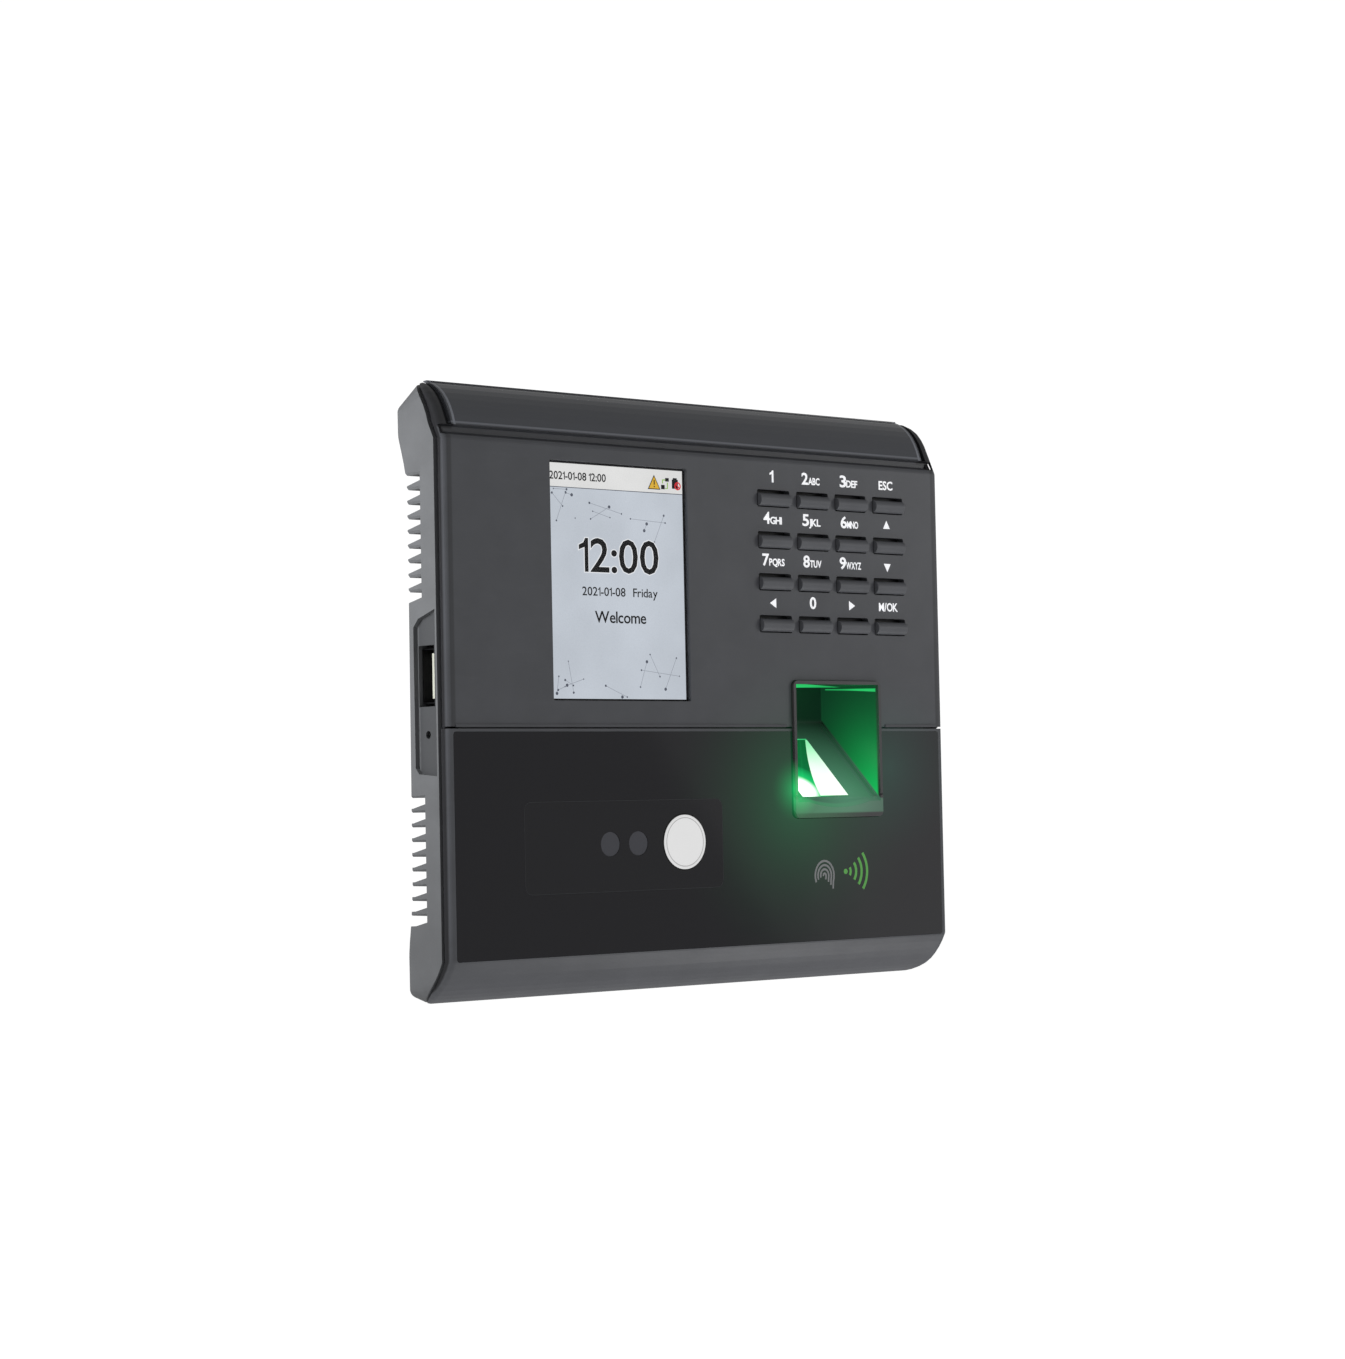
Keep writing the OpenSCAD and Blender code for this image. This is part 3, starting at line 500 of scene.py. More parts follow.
key_plastic = plastic("key_plastic", (0.080, 0.083, 0.092, 1), 0.46, grain_depth=0.004,
                      painted_shade=key_slot_shade)
zinc = metal("zinc_plated_steel", (0.60, 0.61, 0.62, 1), 0.34, spangle=0.35)
tin = metal("tin_plated_steel", (0.66, 0.66, 0.65, 1), 0.28, brush=(0.1, 1, 1))
dark_nickel = metal("dark_nickel_shell", (0.050, 0.050, 0.055, 1), 0.42)
black_oxide = metal("black_oxide_steel", (0.045, 0.046, 0.050, 1), 0.38)
brass = metal("turned_brass", (0.72, 0.53, 0.24, 1), 0.27, brush=(0.08, 0.08, 1))
ivory_plastic = plastic("ivory_plastic", (0.31, 0.315, 0.27, 1), 0.4)
white_plastic = plastic("white_plastic", (0.7, 0.7, 0.67, 1), 0.42)
green_plastic = plastic("green_plastic", (0.02, 0.22, 0.06, 1), 0.38)
battery_wrap = polished("battery_wrap", (0.01, 0.06, 0.28, 1), 0.22)
ribbon_film = polished("ribbon_film", (0.55, 0.52, 0.42, 1), 0.25)


def prism_glass():
    """The scanner's prism, filled with the green light of its lamps."""
    s = Shader("prism_glass")
    blob = deck_matrix @ Vector((34.0 * MM, 4.0 * MM, 0))
    height = s.span(s.axis("Z"), DECK_Z + 2 * MM, DECK_Z + 15 * MM)
    light = s.mix(height, (0.004, 0.20, 0.055, 1), (0.004, 0.13, 0.032, 1))
    cloud = s.noise(5, detail=2)
    light = s.mix(s.span(cloud, 0.3, 0.7, 0, 0.2), light, (0.002, 0.08, 0.02, 1))
    light = s.mix(s.near(blob, 9.5, 0.8), light, (0.02, 1.0, 0.26, 1))
    light = s.mix(s.span(s.distance(blob), 2.6 * MM, 5.4 * MM, 1, 0, smooth=True), light,
                  (1.5, 1.8, 1.55, 1))
    s.set(base_color=(0.004, 0.03, 0.012, 1), roughness=0.08, coat_weight=0.5,
          emission_color=light, emission_strength=1.0)
    return s.material


MATERIAL_OF = {
    "wall_plate": zinc, "security_screw": black_oxide, "rear_cover": shell_plastic,
    "upper_front_cover": front_plastic, "lower_front_cover": front_plastic,
    "housing_seal": seal_rubber, "visor": visor_gloss, "gloss_panel": panel_gloss,
    "smoked_window": smoked_acrylic, "light_lens": diffuser, "light_board": board,
    "lens_covers": lens_glass, "camera_module": black_plastic, "camera_board": board,
    "infrared_leds": infrared_epoxy, "display_window": window_glass,
    "display_gasket": seal_rubber, "display_module": black_plastic,
    "scanner_bezel": bezel_plastic, "scanner_prism": prism_glass(),
    "scanner_chamber": black_plastic, "scanner_board": board, "scanner_leds": led_epoxy,
    "main_board": board, "board_chips": black_plastic, "keypad_board": board,
    "key_domes": tin, "usb_shell": dark_nickel, "usb_tongue": ivory_plastic, "ethernet_jack": tin,
    "power_jack": black_plastic, "terminal_block": green_plastic,
    "reset_switch": black_plastic, "reset_button": white_plastic,
    "tamper_switch": black_plastic, "tamper_plunger": white_plastic,
    "speaker": black_plastic, "battery": battery_wrap, "coin_cell": tin,
    "housing_screws": zinc, "board_screws": zinc, "ribbon_cables": ribbon_film,
    "screw_insert": brass, **{name: key_plastic for name in KEYS},
}
for name, node in nodes.items():
    node.data.materials.clear()
    node.data.materials.append(MATERIAL_OF[name])


# Small true roundings on the edges that catch the light.
EDGE_ROUNDING_MM = {
    "visor": 0.5, "upper_front_cover": 0.2, "lower_front_cover": 0.2, "rear_cover": 0.2,
    "scanner_bezel": 0.12, "gloss_panel": 0.12, "smoked_window": 0.12, "wall_plate": 0.15,
    "display_window": 0.08, "usb_shell": 0.1, "usb_tongue": 0.15, "ethernet_jack": 0.2,
    "power_jack": 0.2, "terminal_block": 0.2, "security_screw": 0.15, "screw_insert": 0.12,
    "light_lens": 0.2, "lens_covers": 0.15, "battery": 0.8, "tamper_plunger": 0.2,
    **{name: 0.18 for name in KEYS},
}
for name, radius in EDGE_ROUNDING_MM.items():
    rounding = nodes[name].modifiers.new("edge_rounding", "BEVEL")
    rounding.width = radius * MM
    rounding.segments = 2
    rounding.limit_method = "ANGLE"
    rounding.angle_limit = math.radians(38)
    rounding.harden_normals = True


# ---------- Mesh helpers ----------

def add_piece(name, mesh, material, body="terminal"):
    """A visible piece that rides a body of the CAD."""
    mesh.materials.clear()
    mesh.materials.append(material)
    piece = bpy.data.objects.new(name, mesh)
    scene.collection.objects.link(piece)
    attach(piece, body)
    return piece


def plates(outlines, back, thickness):
    """Thin solid plates parallel to the front face, from outlines of (x, z) points."""
    shape = bmesh.new()
    for outline in outlines:
        front_loop = [shape.verts.new((x, back - thickness, z)) for x, z in outline]
        back_loop = [shape.verts.new((x, back, z)) for x, z in outline]
        shape.faces.new(front_loop)
        shape.faces.new(list(reversed(back_loop)))
        for i in range(len(outline)):
            j = (i + 1) % len(outline)
            shape.faces.new((front_loop[i], back_loop[i], back_loop[j], front_loop[j]))
    bmesh.ops.recalc_face_normals(shape, faces=shape.faces)
    mesh = bpy.data.meshes.new("plates")
    shape.to_mesh(mesh)
    shape.free()
    return mesh


def rectangle(x, z, w, h):
    """Outline of a rectangle with its middle at x, z."""
    return [(x - w / 2, z - h / 2), (x + w / 2, z - h / 2), (x + w / 2, z + h / 2),
            (x - w / 2, z + h / 2)]


def disc(x, z, r, sides=20):
    """Outline of a disc."""
    turn = 2 * math.pi / sides
    return [(x + r * math.cos(i * turn), z + r * math.sin(i * turn)) for i in range(sides)]


def ribbon(points, width):
    """Outline of a line of the given width through the points."""
    left, right = [], []
    for i, (x, z) in enumerate(points):
        before, after = points[max(i - 1, 0)], points[min(i + 1, len(points) - 1)]
        along = Vector((after[0] - before[0], after[1] - before[1])).normalized()
        side = Vector((-along.y, along.x)) * width / 2
        left.append((x + side.x, z + side.y))
        right.append((x - side.x, z - side.y))
    return left + list(reversed(right))


def ring(x, z, outer, inner, sides=32):
    """Two half rings, which make a whole one."""
    halves = []
    for start in (0, math.pi):
        arc = [start + math.pi * i / (sides // 2) for i in range(sides // 2 + 1)]
        halves.append([(x + outer * math.cos(a), z + outer * math.sin(a)) for a in arc]
                      + [(x + inner * math.cos(a), z + inner * math.sin(a)) for a in reversed(arc)])
    return halves


FLAGGED_ONE = [(0.20, 0.0), (0.30, 0.0), (0.30, 1.0), (0.22, 1.0), (0.16, 0.87), (0.0, 0.79),
               (0.0, 0.68), (0.20, 0.76)]      # a 1 with a flag, in heights of a capital
LETTER_GAP = 0.10
SPACE = 0.34
GLYPHS = {}


def grown(outline, by):
    """The outline with its edges moved outwards."""
    count = len(outline)
    moved = []
    for i in range(count):
        before, here, after = (Vector(outline[(i + k) % count]) for k in (-1, 0, 1))
        u, v = (here - before).normalized(), (after - here).normalized()
        side = Vector((u.y + v.y, -u.x - v.x))
        moved.append(tuple(here + side * by / (1 + u.dot(v))))
    return moved


def letter(char, weight):
    """(vertices, faces, width) of a solid letter, one capital high, that lies in X and Y."""
    if (char, weight) not in GLYPHS:
        if char == "1":
            mesh = plates([grown(FLAGGED_ONE, weight)], 0, 1)
            mesh.transform(Matrix(((1, 0, 0, 0), (0, 0, 1, 0), (0, -1, 0, 0), (0, 0, 0, 1))))
            left, width = 0, 0.30
        else:
            mesh = font_mesh(char, CAP, weight)
            xs = [v.co.x for v in mesh.vertices]
            left, width = min(xs) + weight, max(xs) - min(xs) - 2 * weight
        GLYPHS[(char, weight)] = ([(v.co.x - left, v.co.y, v.co.z) for v in mesh.vertices],
                                  [tuple(f.vertices) for f in mesh.polygons], width)
        bpy.data.meshes.remove(mesh)
    return GLYPHS[(char, weight)]


def font_mesh(text, cap=1.0, weight=0.0):
    """Blender's own letters as a mesh one deep, scaled so that the height cap becomes 1."""
    curve = bpy.data.curves.new("letters", "FONT")
    curve.body = text
    curve.resolution_u = 3
    curve.offset = weight * cap
    curve.extrude = 0.5
    holder = bpy.data.objects.new("letters", curve)
    scene.collection.objects.link(holder)
    bpy.context.view_layer.update()
    mesh = bpy.data.meshes.new_from_object(
        holder.evaluated_get(bpy.context.evaluated_depsgraph_get()))
    bpy.data.objects.remove(holder)
    bpy.data.curves.remove(curve)
    mesh.transform(Matrix.Diagonal((1 / cap, 1 / cap, 1, 1)) @ Matrix.Translation((0, 0, 0.5)))
    return mesh


CAP = max(v.co.y for v in font_mesh("H").vertices)       # height of the font's capitals


def words(text, centre, baseline, cap_height, back, width, weight):
    """Solid letters on a plane parallel to the front, fitted to a width."""
    advance, places = 0.0, []
    for char in text:
        if char == " ":
            advance += SPACE
            continue
        places.append((char, advance))
        advance += letter(char, 0.0)[2] + LETTER_GAP
    total = advance - LETTER_GAP
    vertices, faces = [], []
    for char, place in places:
        first = len(vertices)
        own_vertices, own_faces, _ = letter(char, weight)
        vertices += [(centre + ((x + place) / total - 0.5) * width, back - z * PRINT,
                      baseline + y * cap_height) for x, y, z in own_vertices]
        faces += [tuple(first + i for i in face) for face in own_faces]
    mesh = bpy.data.meshes.new("words")
    mesh.from_pydata(vertices, [], faces)
    return mesh


def joined(meshes):
    """One mesh from several."""
    shape = bmesh.new()
    for mesh in meshes:
        shape.from_mesh(mesh)
        bpy.data.meshes.remove(mesh)
    bmesh.ops.recalc_face_normals(shape, faces=shape.faces)
    made = bpy.data.meshes.new("joined")
    shape.to_mesh(made)
    shape.free()
    return made


# ---------- Printed legends of the keypad ----------

LEGEND_CAP = 2.9 * MM
LETTER_CAP = 1.75 * MM
LEGEND_RISE = 4.3 * MM        # baseline above the middle of the key
LEGEND_SHIFT = 0.5 * MM       # to the left of the middle of the key
DIGIT_W = 2.1 * MM
ONE_W = 1.1 * MM              # a 1 is narrower
LETTER_W = 1.32 * MM
LETTERS_GAP = 0.2 * MM
BOLD = 0.035
# the printed legends glow: painted light that makes the white ink bright
legend_ink = lit("legend_ink", (0.36, 0.36, 0.37, 1), base=(0.75, 0.76, 0.78, 1), uneven=0.12)
LEGENDS = {
    "key_1": ("1", ""), "key_2": ("2", "ABC"), "key_3": ("3", "DEF"),
    "key_4": ("4", "GHI"), "key_5": ("5", "JKL"), "key_6": ("6", "MNO"),
    "key_7": ("7", "PQRS"), "key_8": ("8", "TUV"), "key_9": ("9", "WXYZ"), "key_0": ("0", ""),
}
WORDS_ABOVE = {"key_esc": ("ESC", 5.0 * MM, 2.2 * MM), "key_menu": ("M/OK", 6.8 * MM, 2.1 * MM)}
ARROWS = {"key_up": 90, "key_down": 270, "key_left": 180, "key_right": 0}
ARROW_R = 1.45 * MM
ARROW_RISE = 1.1 * MM


def legend(key):
    """The marks above a key: an arrow, a word, or a digit with its letters."""
    place = middle(key)
    x, z = place.x - LEGEND_SHIFT, place.z + LEGEND_RISE
    if key in ARROWS:
        turns = [math.radians(ARROWS[key] + 120 * i) for i in range(3)]
        return plates([[(x + ARROW_R * math.cos(a), z + ARROW_RISE + ARROW_R * math.sin(a))
                        for a in turns]], face_y, PRINT)
    if key in WORDS_ABOVE:
        text, width, cap = WORDS_ABOVE[key]
        return words(text, x, z, cap, face_y, width, BOLD)
    digit, letters = LEGENDS[key]
    digit_w = ONE_W if digit == "1" else DIGIT_W
    letters_w = LETTER_W * len(letters)
    left = x - (digit_w + letters_w) / 2
    made = [words(digit, left + digit_w / 2, z, LEGEND_CAP, face_y, digit_w, BOLD)]
    if letters:
        made.append(words(letters, left + digit_w + LETTERS_GAP + letters_w / 2, z, LETTER_CAP,
                          face_y, letters_w, 1.15 * BOLD))
    return joined(made)


for key in KEYS:
    add_piece("legend_of_" + key, legend(key), legend_ink)


# ---------- The picture on the display ----------

LAYER = 0.03 * MM             # step in depth from one layer of the picture to the next
top_z = picture.z + PICTURE_H / 2
left_x = picture.x - PICTURE_W / 2
BAR_H = 5.9 * MM
screen_light = lit("screen_light", (0.575, 0.622, 0.688, 1), grid=0.2)
bar_light = lit("bar_light", (0.79, 0.79, 0.785, 1), grid=0.2)
screen_black = lit("screen_black", (0.004, 0.004, 0.005, 1))
screen_white = lit("screen_white", (0.85, 0.87, 0.90, 1))
screen_grey = lit("screen_grey", (0.085, 0.095, 0.125, 1))
screen_line = lit("screen_line", (0.26, 0.28, 0.33, 1))
screen_yellow = lit("screen_yellow", (0.75, 0.45, 0.04, 1))
screen_red = lit("screen_red", (0.65, 0.03, 0.04, 1))
screen_green = lit("screen_green", (0.25, 0.5, 0.05, 1))


def on_screen(name, mesh, material, layer):
    """A piece of the picture, on a layer counted outwards from the display's face."""
    mesh.transform(Matrix.Translation((0, screen_y - layer * LAYER, 0)))
    add_piece(name, mesh, material)


def screen_plates(outlines):
    return plates(outlines, 0, PRINT)


on_screen("screen_picture", screen_plates([rectangle(picture.x, picture.z, PICTURE_W, PICTURE_H)]),
          screen_light, 0)
on_screen("status_bar", screen_plates([rectangle(picture.x, top_z - BAR_H / 2, PICTURE_W, BAR_H)]),
          bar_light, 1)
on_screen("status_line", screen_plates([rectangle(picture.x, top_z - BAR_H, PICTURE_W, 0.18 * MM)]),
          screen_grey, 2)

CLOCK = ("12:00", 0.45, 26.3, 8.1, 25.4)
SCREEN_TEXTS = [
    # name, (text, its middle from the picture's middle, its baseline below the picture's top,
    # height of its capitals, its width, in mm), weight, material, layer
    ("status_text", ("2021-01-08 12:00", -12.3, 4.0, 1.9, 17.8), 0.02, screen_black, 2),
    ("clock_halo", CLOCK, 0.042, screen_white, 1),
    ("clock_text", CLOCK, 0.014, screen_black, 2),
    ("date_text", ("2021-01-08   Friday", 0.6, 32.2, 2.1, 24.2), 0.012, screen_black, 2),
    ("welcome_text", ("Welcome", 0.6, 38.8, 2.8, 16.4), 0.018, screen_black, 2),
]
for name, (text, along, down, cap, width), weight, material, layer in SCREEN_TEXTS:
    mesh = words(text, picture.x + along * MM, top_z - down * MM, cap * MM, 0, width * MM, weight)
    on_screen(name, mesh, material, layer)


def status_icons():
    """A warning triangle, a network sign and a full store's sign."""
    z = top_z - 3.4 * MM
    x = picture.x + 12.3 * MM
    triangle = [(x - 1.7 * MM, z - 1.4 * MM), (x + 1.7 * MM, z - 1.4 * MM), (x, z + 1.6 * MM)]
    on_screen("warning_edge", screen_plates([grown(triangle, 0.22 * MM)]), screen_black, 2)
    on_screen("warning_sign", screen_plates([triangle]), screen_yellow, 3)
    on_screen("warning_mark", screen_plates([rectangle(x, z + 0.15 * MM, 0.32 * MM, 1.2 * MM),
                                             rectangle(x, z - 0.9 * MM, 0.34 * MM, 0.34 * MM)]),
              screen_black, 4)
    x += 3.7 * MM
    on_screen("network_sign", screen_plates([
        rectangle(x + 0.6 * MM, z + 1.0 * MM, 1.2 * MM, 0.9 * MM),
        rectangle(x - 0.8 * MM, z - 0.9 * MM, 1.2 * MM, 1.1 * MM)]), screen_black, 2)
    on_screen("network_link", screen_plates([
        ribbon([(x - 0.9 * MM, z), (x - 0.9 * MM, z + 0.9 * MM), (x, z + 0.9 * MM)], 0.3 * MM),
        ribbon([(x + 0.7 * MM, z + 0.3 * MM), (x + 0.7 * MM, z - 1.2 * MM), (x, z - 1.2 * MM)],
               0.3 * MM)]), screen_green, 2)
    x += 3.5 * MM
    on_screen("store_sign", screen_plates([rectangle(x - 0.3 * MM, z, 2.0 * MM, 2.3 * MM),
                                           rectangle(x - 0.3 * MM, z + 1.35 * MM, 1.3 * MM, 0.4 * MM)]),
              screen_black, 2)
    on_screen("store_ring", screen_plates(ring(x + 0.55 * MM, z - 0.45 * MM, 1.05 * MM, 0.7 * MM)
                                          + [ribbon([(x - 0.1 * MM, z + 0.2 * MM),
                                                     (x + 1.2 * MM, z - 1.1 * MM)], 0.35 * MM)]),
              screen_red, 3)


status_icons()


def constellation():
    """Small dots and thin lines near the top and the bottom of the picture."""
    rng = random.Random(12)
    dots, lines = [], []
    margin = 0.5 * MM
    # middle, half widths and number of dots of each group, in mm from the picture's middle
    groups = [(-16, 20, 4.5, 5.5, 9), (-3, 16, 7, 3.5, 6), (10, 14, 6, 4.5, 6),
              (-15, -24, 5.5, 6, 10), (-2, -28, 5, 2.5, 3), (13, -23, 6.5, 6, 8)]
    for x0, z0, spread_x, spread_z, count in groups:
        places = []
        for _ in range(count):
            x = picture.x + (x0 + rng.uniform(-1, 1) * spread_x) * MM
            z = picture.z + (z0 + rng.uniform(-1, 1) * spread_z) * MM
            x = min(max(x, left_x + margin), left_x + PICTURE_W - margin)
            z = min(max(z, picture.z - PICTURE_H / 2 + margin), top_z - BAR_H - margin)
            places.append((x, z))
            dots.append(disc(x, z, rng.choice((0.18, 0.22, 0.24, 0.3, 0.42)) * MM, 10))
        for a, b in zip(places[::2], places[1::2]):
            lines.append(ribbon([a, b], 0.1 * MM))
    on_screen("screen_dots", screen_plates(dots), screen_grey, 1)
    on_screen("screen_lines", screen_plates(lines), screen_line, 1)


constellation()


# ---------- Plain signs under the scanner: a fingerprint and radio waves ----------

SIGN_Z = -47.4 * MM
FINGERPRINT_X = 38.2 * MM
WAVES_X = 46.0 * MM
WAVES_Z = SIGN_Z + 0.9 * MM
RIDGE_STROKE = 0.55 * MM
WAVE_STROKE = 0.8 * MM


def arc(x, z, radius, start, end, tall=1.0, steps=16):
    """Points of an arc between two angles in degrees."""
    angles = [math.radians(start + (end - start) * k / steps) for k in range(steps + 1)]
    return [(x + radius * math.cos(a), z + tall * radius * math.sin(a)) for a in angles]


def front_signs():
    """Four ridges of a fingerprint, and a dot with four waves."""
    ridges = []
    for i in range(4):
        points = arc(FINGERPRINT_X, SIGN_Z, (0.5 + 0.95 * i) * MM, -10 - 5 * i, 190 + 5 * i, 1.15)
        tail = (points[0][0] - 0.1 * MM, points[0][1] - (0.9 + 0.3 * i) * MM)
        ridges.append(ribbon([tail] + points, RIDGE_STROKE))
    waves = [ribbon(arc(WAVES_X, WAVES_Z, (1.6 + 2.0 * i) * MM, -38, 38), WAVE_STROKE)
             for i in range(4)]
    waves.append(disc(WAVES_X - 0.2 * MM, WAVES_Z, 0.7 * MM))
    add_piece("fingerprint_sign", plates(ridges, face_y, PRINT),
              ink("grey_ink", (0.20, 0.205, 0.21, 1)))
    add_piece("radio_sign", plates(waves, face_y, PRINT),
              ink("green_ink", (0.10, 0.38, 0.07, 1)))


front_signs()


# ---------- Fill light, lenses and the edge of the smoked window ----------

def lathe(profile, x, z, sides=64):
    """A round mesh about an axis along Y, from (radius, y) points."""
    shape = bmesh.new()
    rings = []
    for radius, y in profile:
        if radius == 0:
            rings.append([shape.verts.new((x, y, z))])
        else:
            rings.append([shape.verts.new((x + radius * math.cos(2 * math.pi * i / sides), y,
                                           z + radius * math.sin(2 * math.pi * i / sides)))
                          for i in range(sides)])
    for a, b in zip(rings, rings[1:]):
        for i in range(sides):
            j = (i + 1) % sides
            corners = [a[i % len(a)], a[j % len(a)], b[j % len(b)], b[i % len(b)]]
            shape.faces.new(list(dict.fromkeys(corners)))
    bmesh.ops.recalc_face_normals(shape, faces=shape.faces)
    for face in shape.faces:
        face.smooth = True
    mesh = bpy.data.meshes.new("lathe")
    shape.to_mesh(mesh)
    shape.free()
    return mesh


def square_ring(inner, outer, front, back):
    """Profile of a ring with a rectangular section."""
    return [(inner, front), (outer, front), (outer, back), (inner, back), (inner, front)]


def light_ring():
    """The bright moulded rim round the fill light, a line inside it, and the gap outside."""
    place = middle("light_lens")
    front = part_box("light_lens")[0].y
    r = 6.8 * MM
    rim = [(r - 0.6 * MM, front + 0.1 * MM), (r - 0.5 * MM, front - 0.08 * MM),
           (r - 0.35 * MM, front - 0.14 * MM), (r - 0.2 * MM, front - 0.08 * MM),
           (r - 0.15 * MM, front + 0.3 * MM), (r - 0.6 * MM, front + 0.3 * MM),
           (r - 0.6 * MM, front + 0.1 * MM)]
    add_piece("light_ring", lathe(rim, place.x, place.z),
              lit("ring_light", (0.62, 0.62, 0.62, 1), base=(0.12, 0.12, 0.12, 1), uneven=0.02))
    gap = square_ring(r - 0.1 * MM, r + 0.4 * MM, face_y - 0.01 * MM, face_y + 0.02 * MM)
    add_piece("light_gap", lathe(gap, place.x, place.z),
              rubber("gap_black", (0.004, 0.004, 0.004, 1)))
    line = square_ring(r - 0.85 * MM, r - 0.62 * MM, front - 0.02 * MM, front + 0.02 * MM)
    add_piece("light_line", lathe(line, place.x, place.z),
              lit("line_grey", (0.42, 0.42, 0.42, 1)))


light_ring()


def seam_lip():
    """The lower cover's tongue, which shows in the seam between the covers."""
    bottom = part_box("lower_front_cover")[1].z
    top = case_low.z
    depth = 0.12 * MM
    strips = [[(start, bottom - 0.05 * MM), (end, bottom - 0.05 * MM),
               (end, top - 0.12 * MM), (start, top - 0.12 * MM)]
              for start, end in ((-HALF_W + 3 * MM, bezel_low.x - 0.1 * MM),
                                 (bezel_high.x + 0.1 * MM, HALF_W - 3 * MM))]
    add_piece("seam_lip", plates(strips, face_y + depth, 0.3 * MM),
              plastic("seam_plastic", (0.052, 0.054, 0.061, 1), 0.45))


seam_lip()


def window_edge():
    """The fine polished edge round the smoked window, paler than it as a painted highlight."""
    place = middle("smoked_window")
    low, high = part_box("smoked_window")
    w, h = high.x - low.x, high.z - low.z
    r = 2 * MM                # of the window's rounded corners
    points = []
    for i, j, start in ((1, 1, 0), (-1, 1, 90), (-1, -1, 180), (1, -1, 270)):
        for k in range(7):
            a = math.radians(start + 15 * k)
            points.append((place.x + i * (w / 2 - r) + r * math.cos(a),
                           place.z + j * (h / 2 - r) + r * math.sin(a)))
    edge = polished("window_edge", (0.028, 0.029, 0.032, 1), 0.1)
    pieces = [ribbon([points[i], points[(i + 1) % len(points)]], 0.12 * MM)
              for i in range(len(points))]
    add_piece("smoked_window_edge", plates(pieces, face_y, 0.015 * MM), edge)


window_edge()


# ---------- The lit platen of the scanner ----------

def on_deck(points, lift_mm=0.0, thickness=PRINT):
    """A thin plate that lies on the deck, from (x, distance up the slope) points in mm."""
    shape = bmesh.new()
    lower = [shape.verts.new(deck_matrix @ Vector((x * MM, up * MM, lift_mm * MM)))
             for x, up in points]
    upper = [shape.verts.new(deck_matrix @ Vector((x * MM, up * MM, lift_mm * MM + thickness)))
             for x, up in points]
    shape.faces.new(upper)
    shape.faces.new(list(reversed(lower)))
    for i in range(len(points)):
        j = (i + 1) % len(points)
        shape.faces.new((lower[i], lower[j], upper[j], upper[i]))
    bmesh.ops.recalc_face_normals(shape, faces=shape.faces)
    mesh = bpy.data.meshes.new("on_deck")
    shape.to_mesh(mesh)
    shape.free()
    return mesh


def bend(a, b, c, steps=10):
    """Points of a quadratic curve from a to c, drawn towards b."""
    points = []
    for i in range(steps + 1):
        t = i / steps
        points.append(tuple((1 - t) ** 2 * p + 2 * t * (1 - t) * q + t * t * r
                            for p, q, r in zip(a, b, c)))
    return points


def platen_light():
    """White with a green tinge, greener towards the top of the slope."""
    s = Shader("platen_light")
    up = s.span(s.axis("Z"), DECK_Z + 5.5 * MM, DECK_Z + 16.5 * MM, smooth=True)
    cloud = s.noise(6, detail=2)
    white = s.mix(s.span(cloud, 0.3, 0.7), (0.92, 1.1, 0.95, 1), (1.0, 1.15, 1.0, 1))
    s.set(base_color=(0.2, 0.3, 0.22, 1), roughness=0.2, emission_strength=1.0,
          emission_color=s.mix(up, white, (0.22, 0.78, 0.38, 1)))
    return s.material


def platen():
    """The lit window on the prism's glass and the bright line along its top edge."""
    left, right, bottom, top = 31.6, 48.2, 1.2, 22.6
    window = bend((38.2, bottom), (39.6, 9.5), (47.6, top)) + [(right, top), (right, bottom)]
    add_piece("platen_window", on_deck(window, 0.01), platen_light())
    line_low, line_high = top + 0.15, top + 0.45
    line = [(left, line_low), (right, line_low), (right, line_high), (left, line_high)]
    add_piece("platen_top_edge", on_deck(line),
              lit("platen_edge_light", (0.05, 0.62, 0.20, 1)))


platen()


def ridge_glow(s):
    """The platen's light, painted on the deck's ridge."""
    return s.sum_of_lights(
        (s.near((WELL_RIGHT, face_y, DECK_Z), 26, 0.8), (0.16, 0.26, 0.20, 1)))


def deck_ridge():
    """The ridge along the deck's right edge, paler than the bezel, with the platen's light painted on
    it.
    """
    ridge = [(56.8, 0.9), (57.9, 0.9), (57.9, 27), (57.2, 27)]
    pale = plastic("ridge_plastic", (0.10, 0.105, 0.10, 1), 0.35, glow=ridge_glow)
    add_piece("deck_ridge", on_deck(ridge, thickness=0.3 * MM), pale)


deck_ridge()


def well_reflections():
    """Two painted reflections: bright streaks on the well's ceiling and at the top of its right wall.
    """
    ceiling = [(WELL_LEFT + 0.1 * MM, 0.4), (33 * MM, 0.4), (WELL_RIGHT - 0.5 * MM, 13.5),
               (WELL_RIGHT - 0.5 * MM, 15.5), (47 * MM, 19), (WELL_LEFT + 0.1 * MM, 19)]
    outline = [(x, face_y + d * MM) for x, d in ceiling]
    mesh = plates([outline], 0, PRINT)
    mesh.transform(Matrix(((1, 0, 0, 0), (0, 0, 1, 0), (0, 1, 0, WELL_TOP), (0, 0, 0, 1))))
    streak = lit("streak_light", (0.02, 0.50, 0.12, 1), uneven=0.3)
    add_piece("ceiling_reflection", mesh, streak)
    wall = [(0.3, -0.9), (19.5, -0.35), (19.5, -0.6), (8, -1.2), (0.3, -1.75)]
    outline = [(face_y + d * MM, WELL_TOP + up * MM) for d, up in wall]
    mesh = plates([outline], 0, PRINT)
    mesh.transform(Matrix(((0, 1, 0, WELL_RIGHT), (1, 0, 0, 0), (0, 0, 1, 0), (0, 0, 0, 1))))
    add_piece("wall_reflection", mesh, streak)


well_reflections()


# ---------- Stage and lights ----------

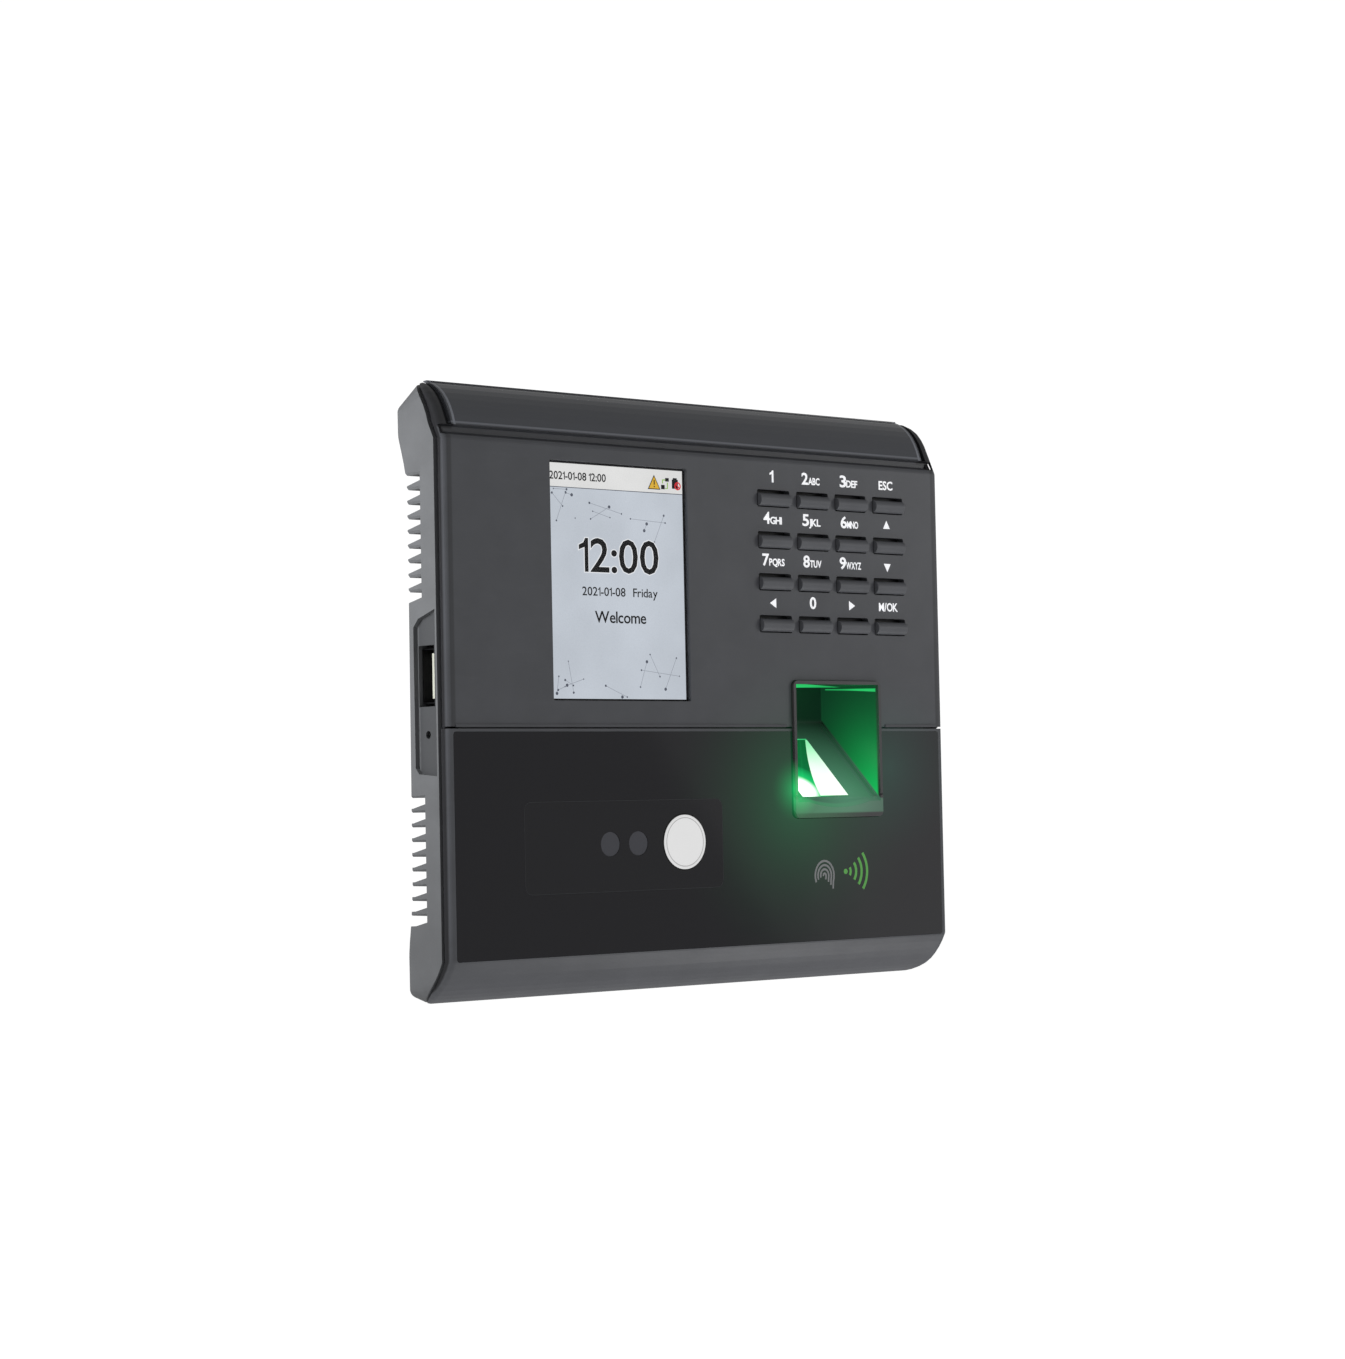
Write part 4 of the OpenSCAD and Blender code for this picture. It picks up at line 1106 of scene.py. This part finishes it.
def soft_light(name, place, target, size, power, colour=(1, 1, 1), seen=True):
    """A rectangular lamp; seen says whether glossy surfaces mirror it."""
    data = bpy.data.lights.new(name, "AREA")
    data.shape = "RECTANGLE"
    data.size, data.size_y = size
    data.energy = power
    data.color = colour
    lamp = bpy.data.objects.new(name, data)
    lamp.location = place
    lamp.rotation_euler = (Vector(target) - Vector(place)).to_track_quat("-Z", "Y").to_euler()
    lamp.visible_camera = False
    lamp.visible_glossy = seen
    scene.collection.objects.link(lamp)
    return lamp


def make_floor():
    """A pale floor well below the terminal, which hangs as on a wall."""
    mesh = bpy.data.meshes.new("floor")
    z = cad_box[0].z - 0.22
    half = 6.0
    mesh.from_pydata([(-half, -half, z), (half, -half, z), (half, half, z), (-half, half, z)],
                     [], [(0, 1, 2, 3)])
    s = Shader("floor_paper")
    fibre = s.noise(1.5, detail=4)
    s.set(base_color=s.mix(fibre, (0.90, 0.90, 0.90, 1), (0.94, 0.94, 0.94, 1)),
          roughness=0.9, normal=s.bump(fibre, 0.02),
          emission_color=(1, 1, 1, 1), emission_strength=0.70)
    mesh.materials.append(s.material)
    floor = bpy.data.objects.new("floor", mesh)
    scene.collection.objects.link(floor)
    floor.visible_glossy = False


make_floor()


def make_world():
    """Even white light, brighter where it is seen directly as the backdrop."""
    world = bpy.data.worlds.new("studio")
    scene.world = world
    world.use_nodes = True
    studio = world.node_tree
    light = studio.nodes["Background"]
    light.inputs["Color"].default_value = (1, 1, 1, 1)
    light.inputs["Strength"].default_value = 0.35
    backdrop = studio.nodes.new("ShaderNodeBackground")
    backdrop.inputs["Color"].default_value = (1, 1, 1, 1)
    backdrop.inputs["Strength"].default_value = 1.05
    ray = studio.nodes.new("ShaderNodeLightPath")
    chosen = studio.nodes.new("ShaderNodeMixShader")
    studio.links.new(ray.outputs["Is Camera Ray"], chosen.inputs[0])
    studio.links.new(light.outputs[0], chosen.inputs[1])
    studio.links.new(backdrop.outputs[0], chosen.inputs[2])
    studio.links.new(chosen.outputs[0], studio.nodes["World Output"].inputs["Surface"])


make_world()

# a close lamp high on the left, and large dim cards that the gloss panel mirrors
soft_light("left_lamp", (-0.215, 0.005, 0.045), (-0.084, 0, 0.01), (0.08, 0.08), 0.47,
           seen=False)
soft_light("right_lamp", (0.36, -0.28, 0.10), (0.08, 0, 0), (0.12, 0.12), 0.09)
soft_light("low_lamp", (0.20, -0.12, -0.26), (0.07, -0.02, -0.07), (0.1, 0.1), 0.09)
edge_card = soft_light("edge_card", (1.35, -1.2, 0.28), (1.35, 0, 0.28), (0.9, 1.6), 0.63)
edge_card.rotation_euler.rotate_axis("Z", math.radians(38.7))
soft_light("right_card", (1.60, -1.25, 0.05), (1.60, 0, 0.05), (0.84, 1.2), 0.38)
soft_light("far_right_card", (1.69, -1.3, 0.05), (1.69, 0, 0.05), (0.84, 1.2), 0.38)
soft_light("rear_lamp", (0.7, 1.1, 0.6), (0, 0, 0), (0.8, 0.8), 13, seen=False)

# the green lamps inside the scanner
glow_place = deck_matrix @ Vector((40 * MM, 11 * MM, 1.2 * MM))
glow_target = deck_matrix @ Vector((40 * MM, 11 * MM, 20 * MM))
soft_light("scanner_glow", glow_place, glow_target, (0.016, 0.019), 0.010,
           colour=(0.04, 1.0, 0.32), seen=False)
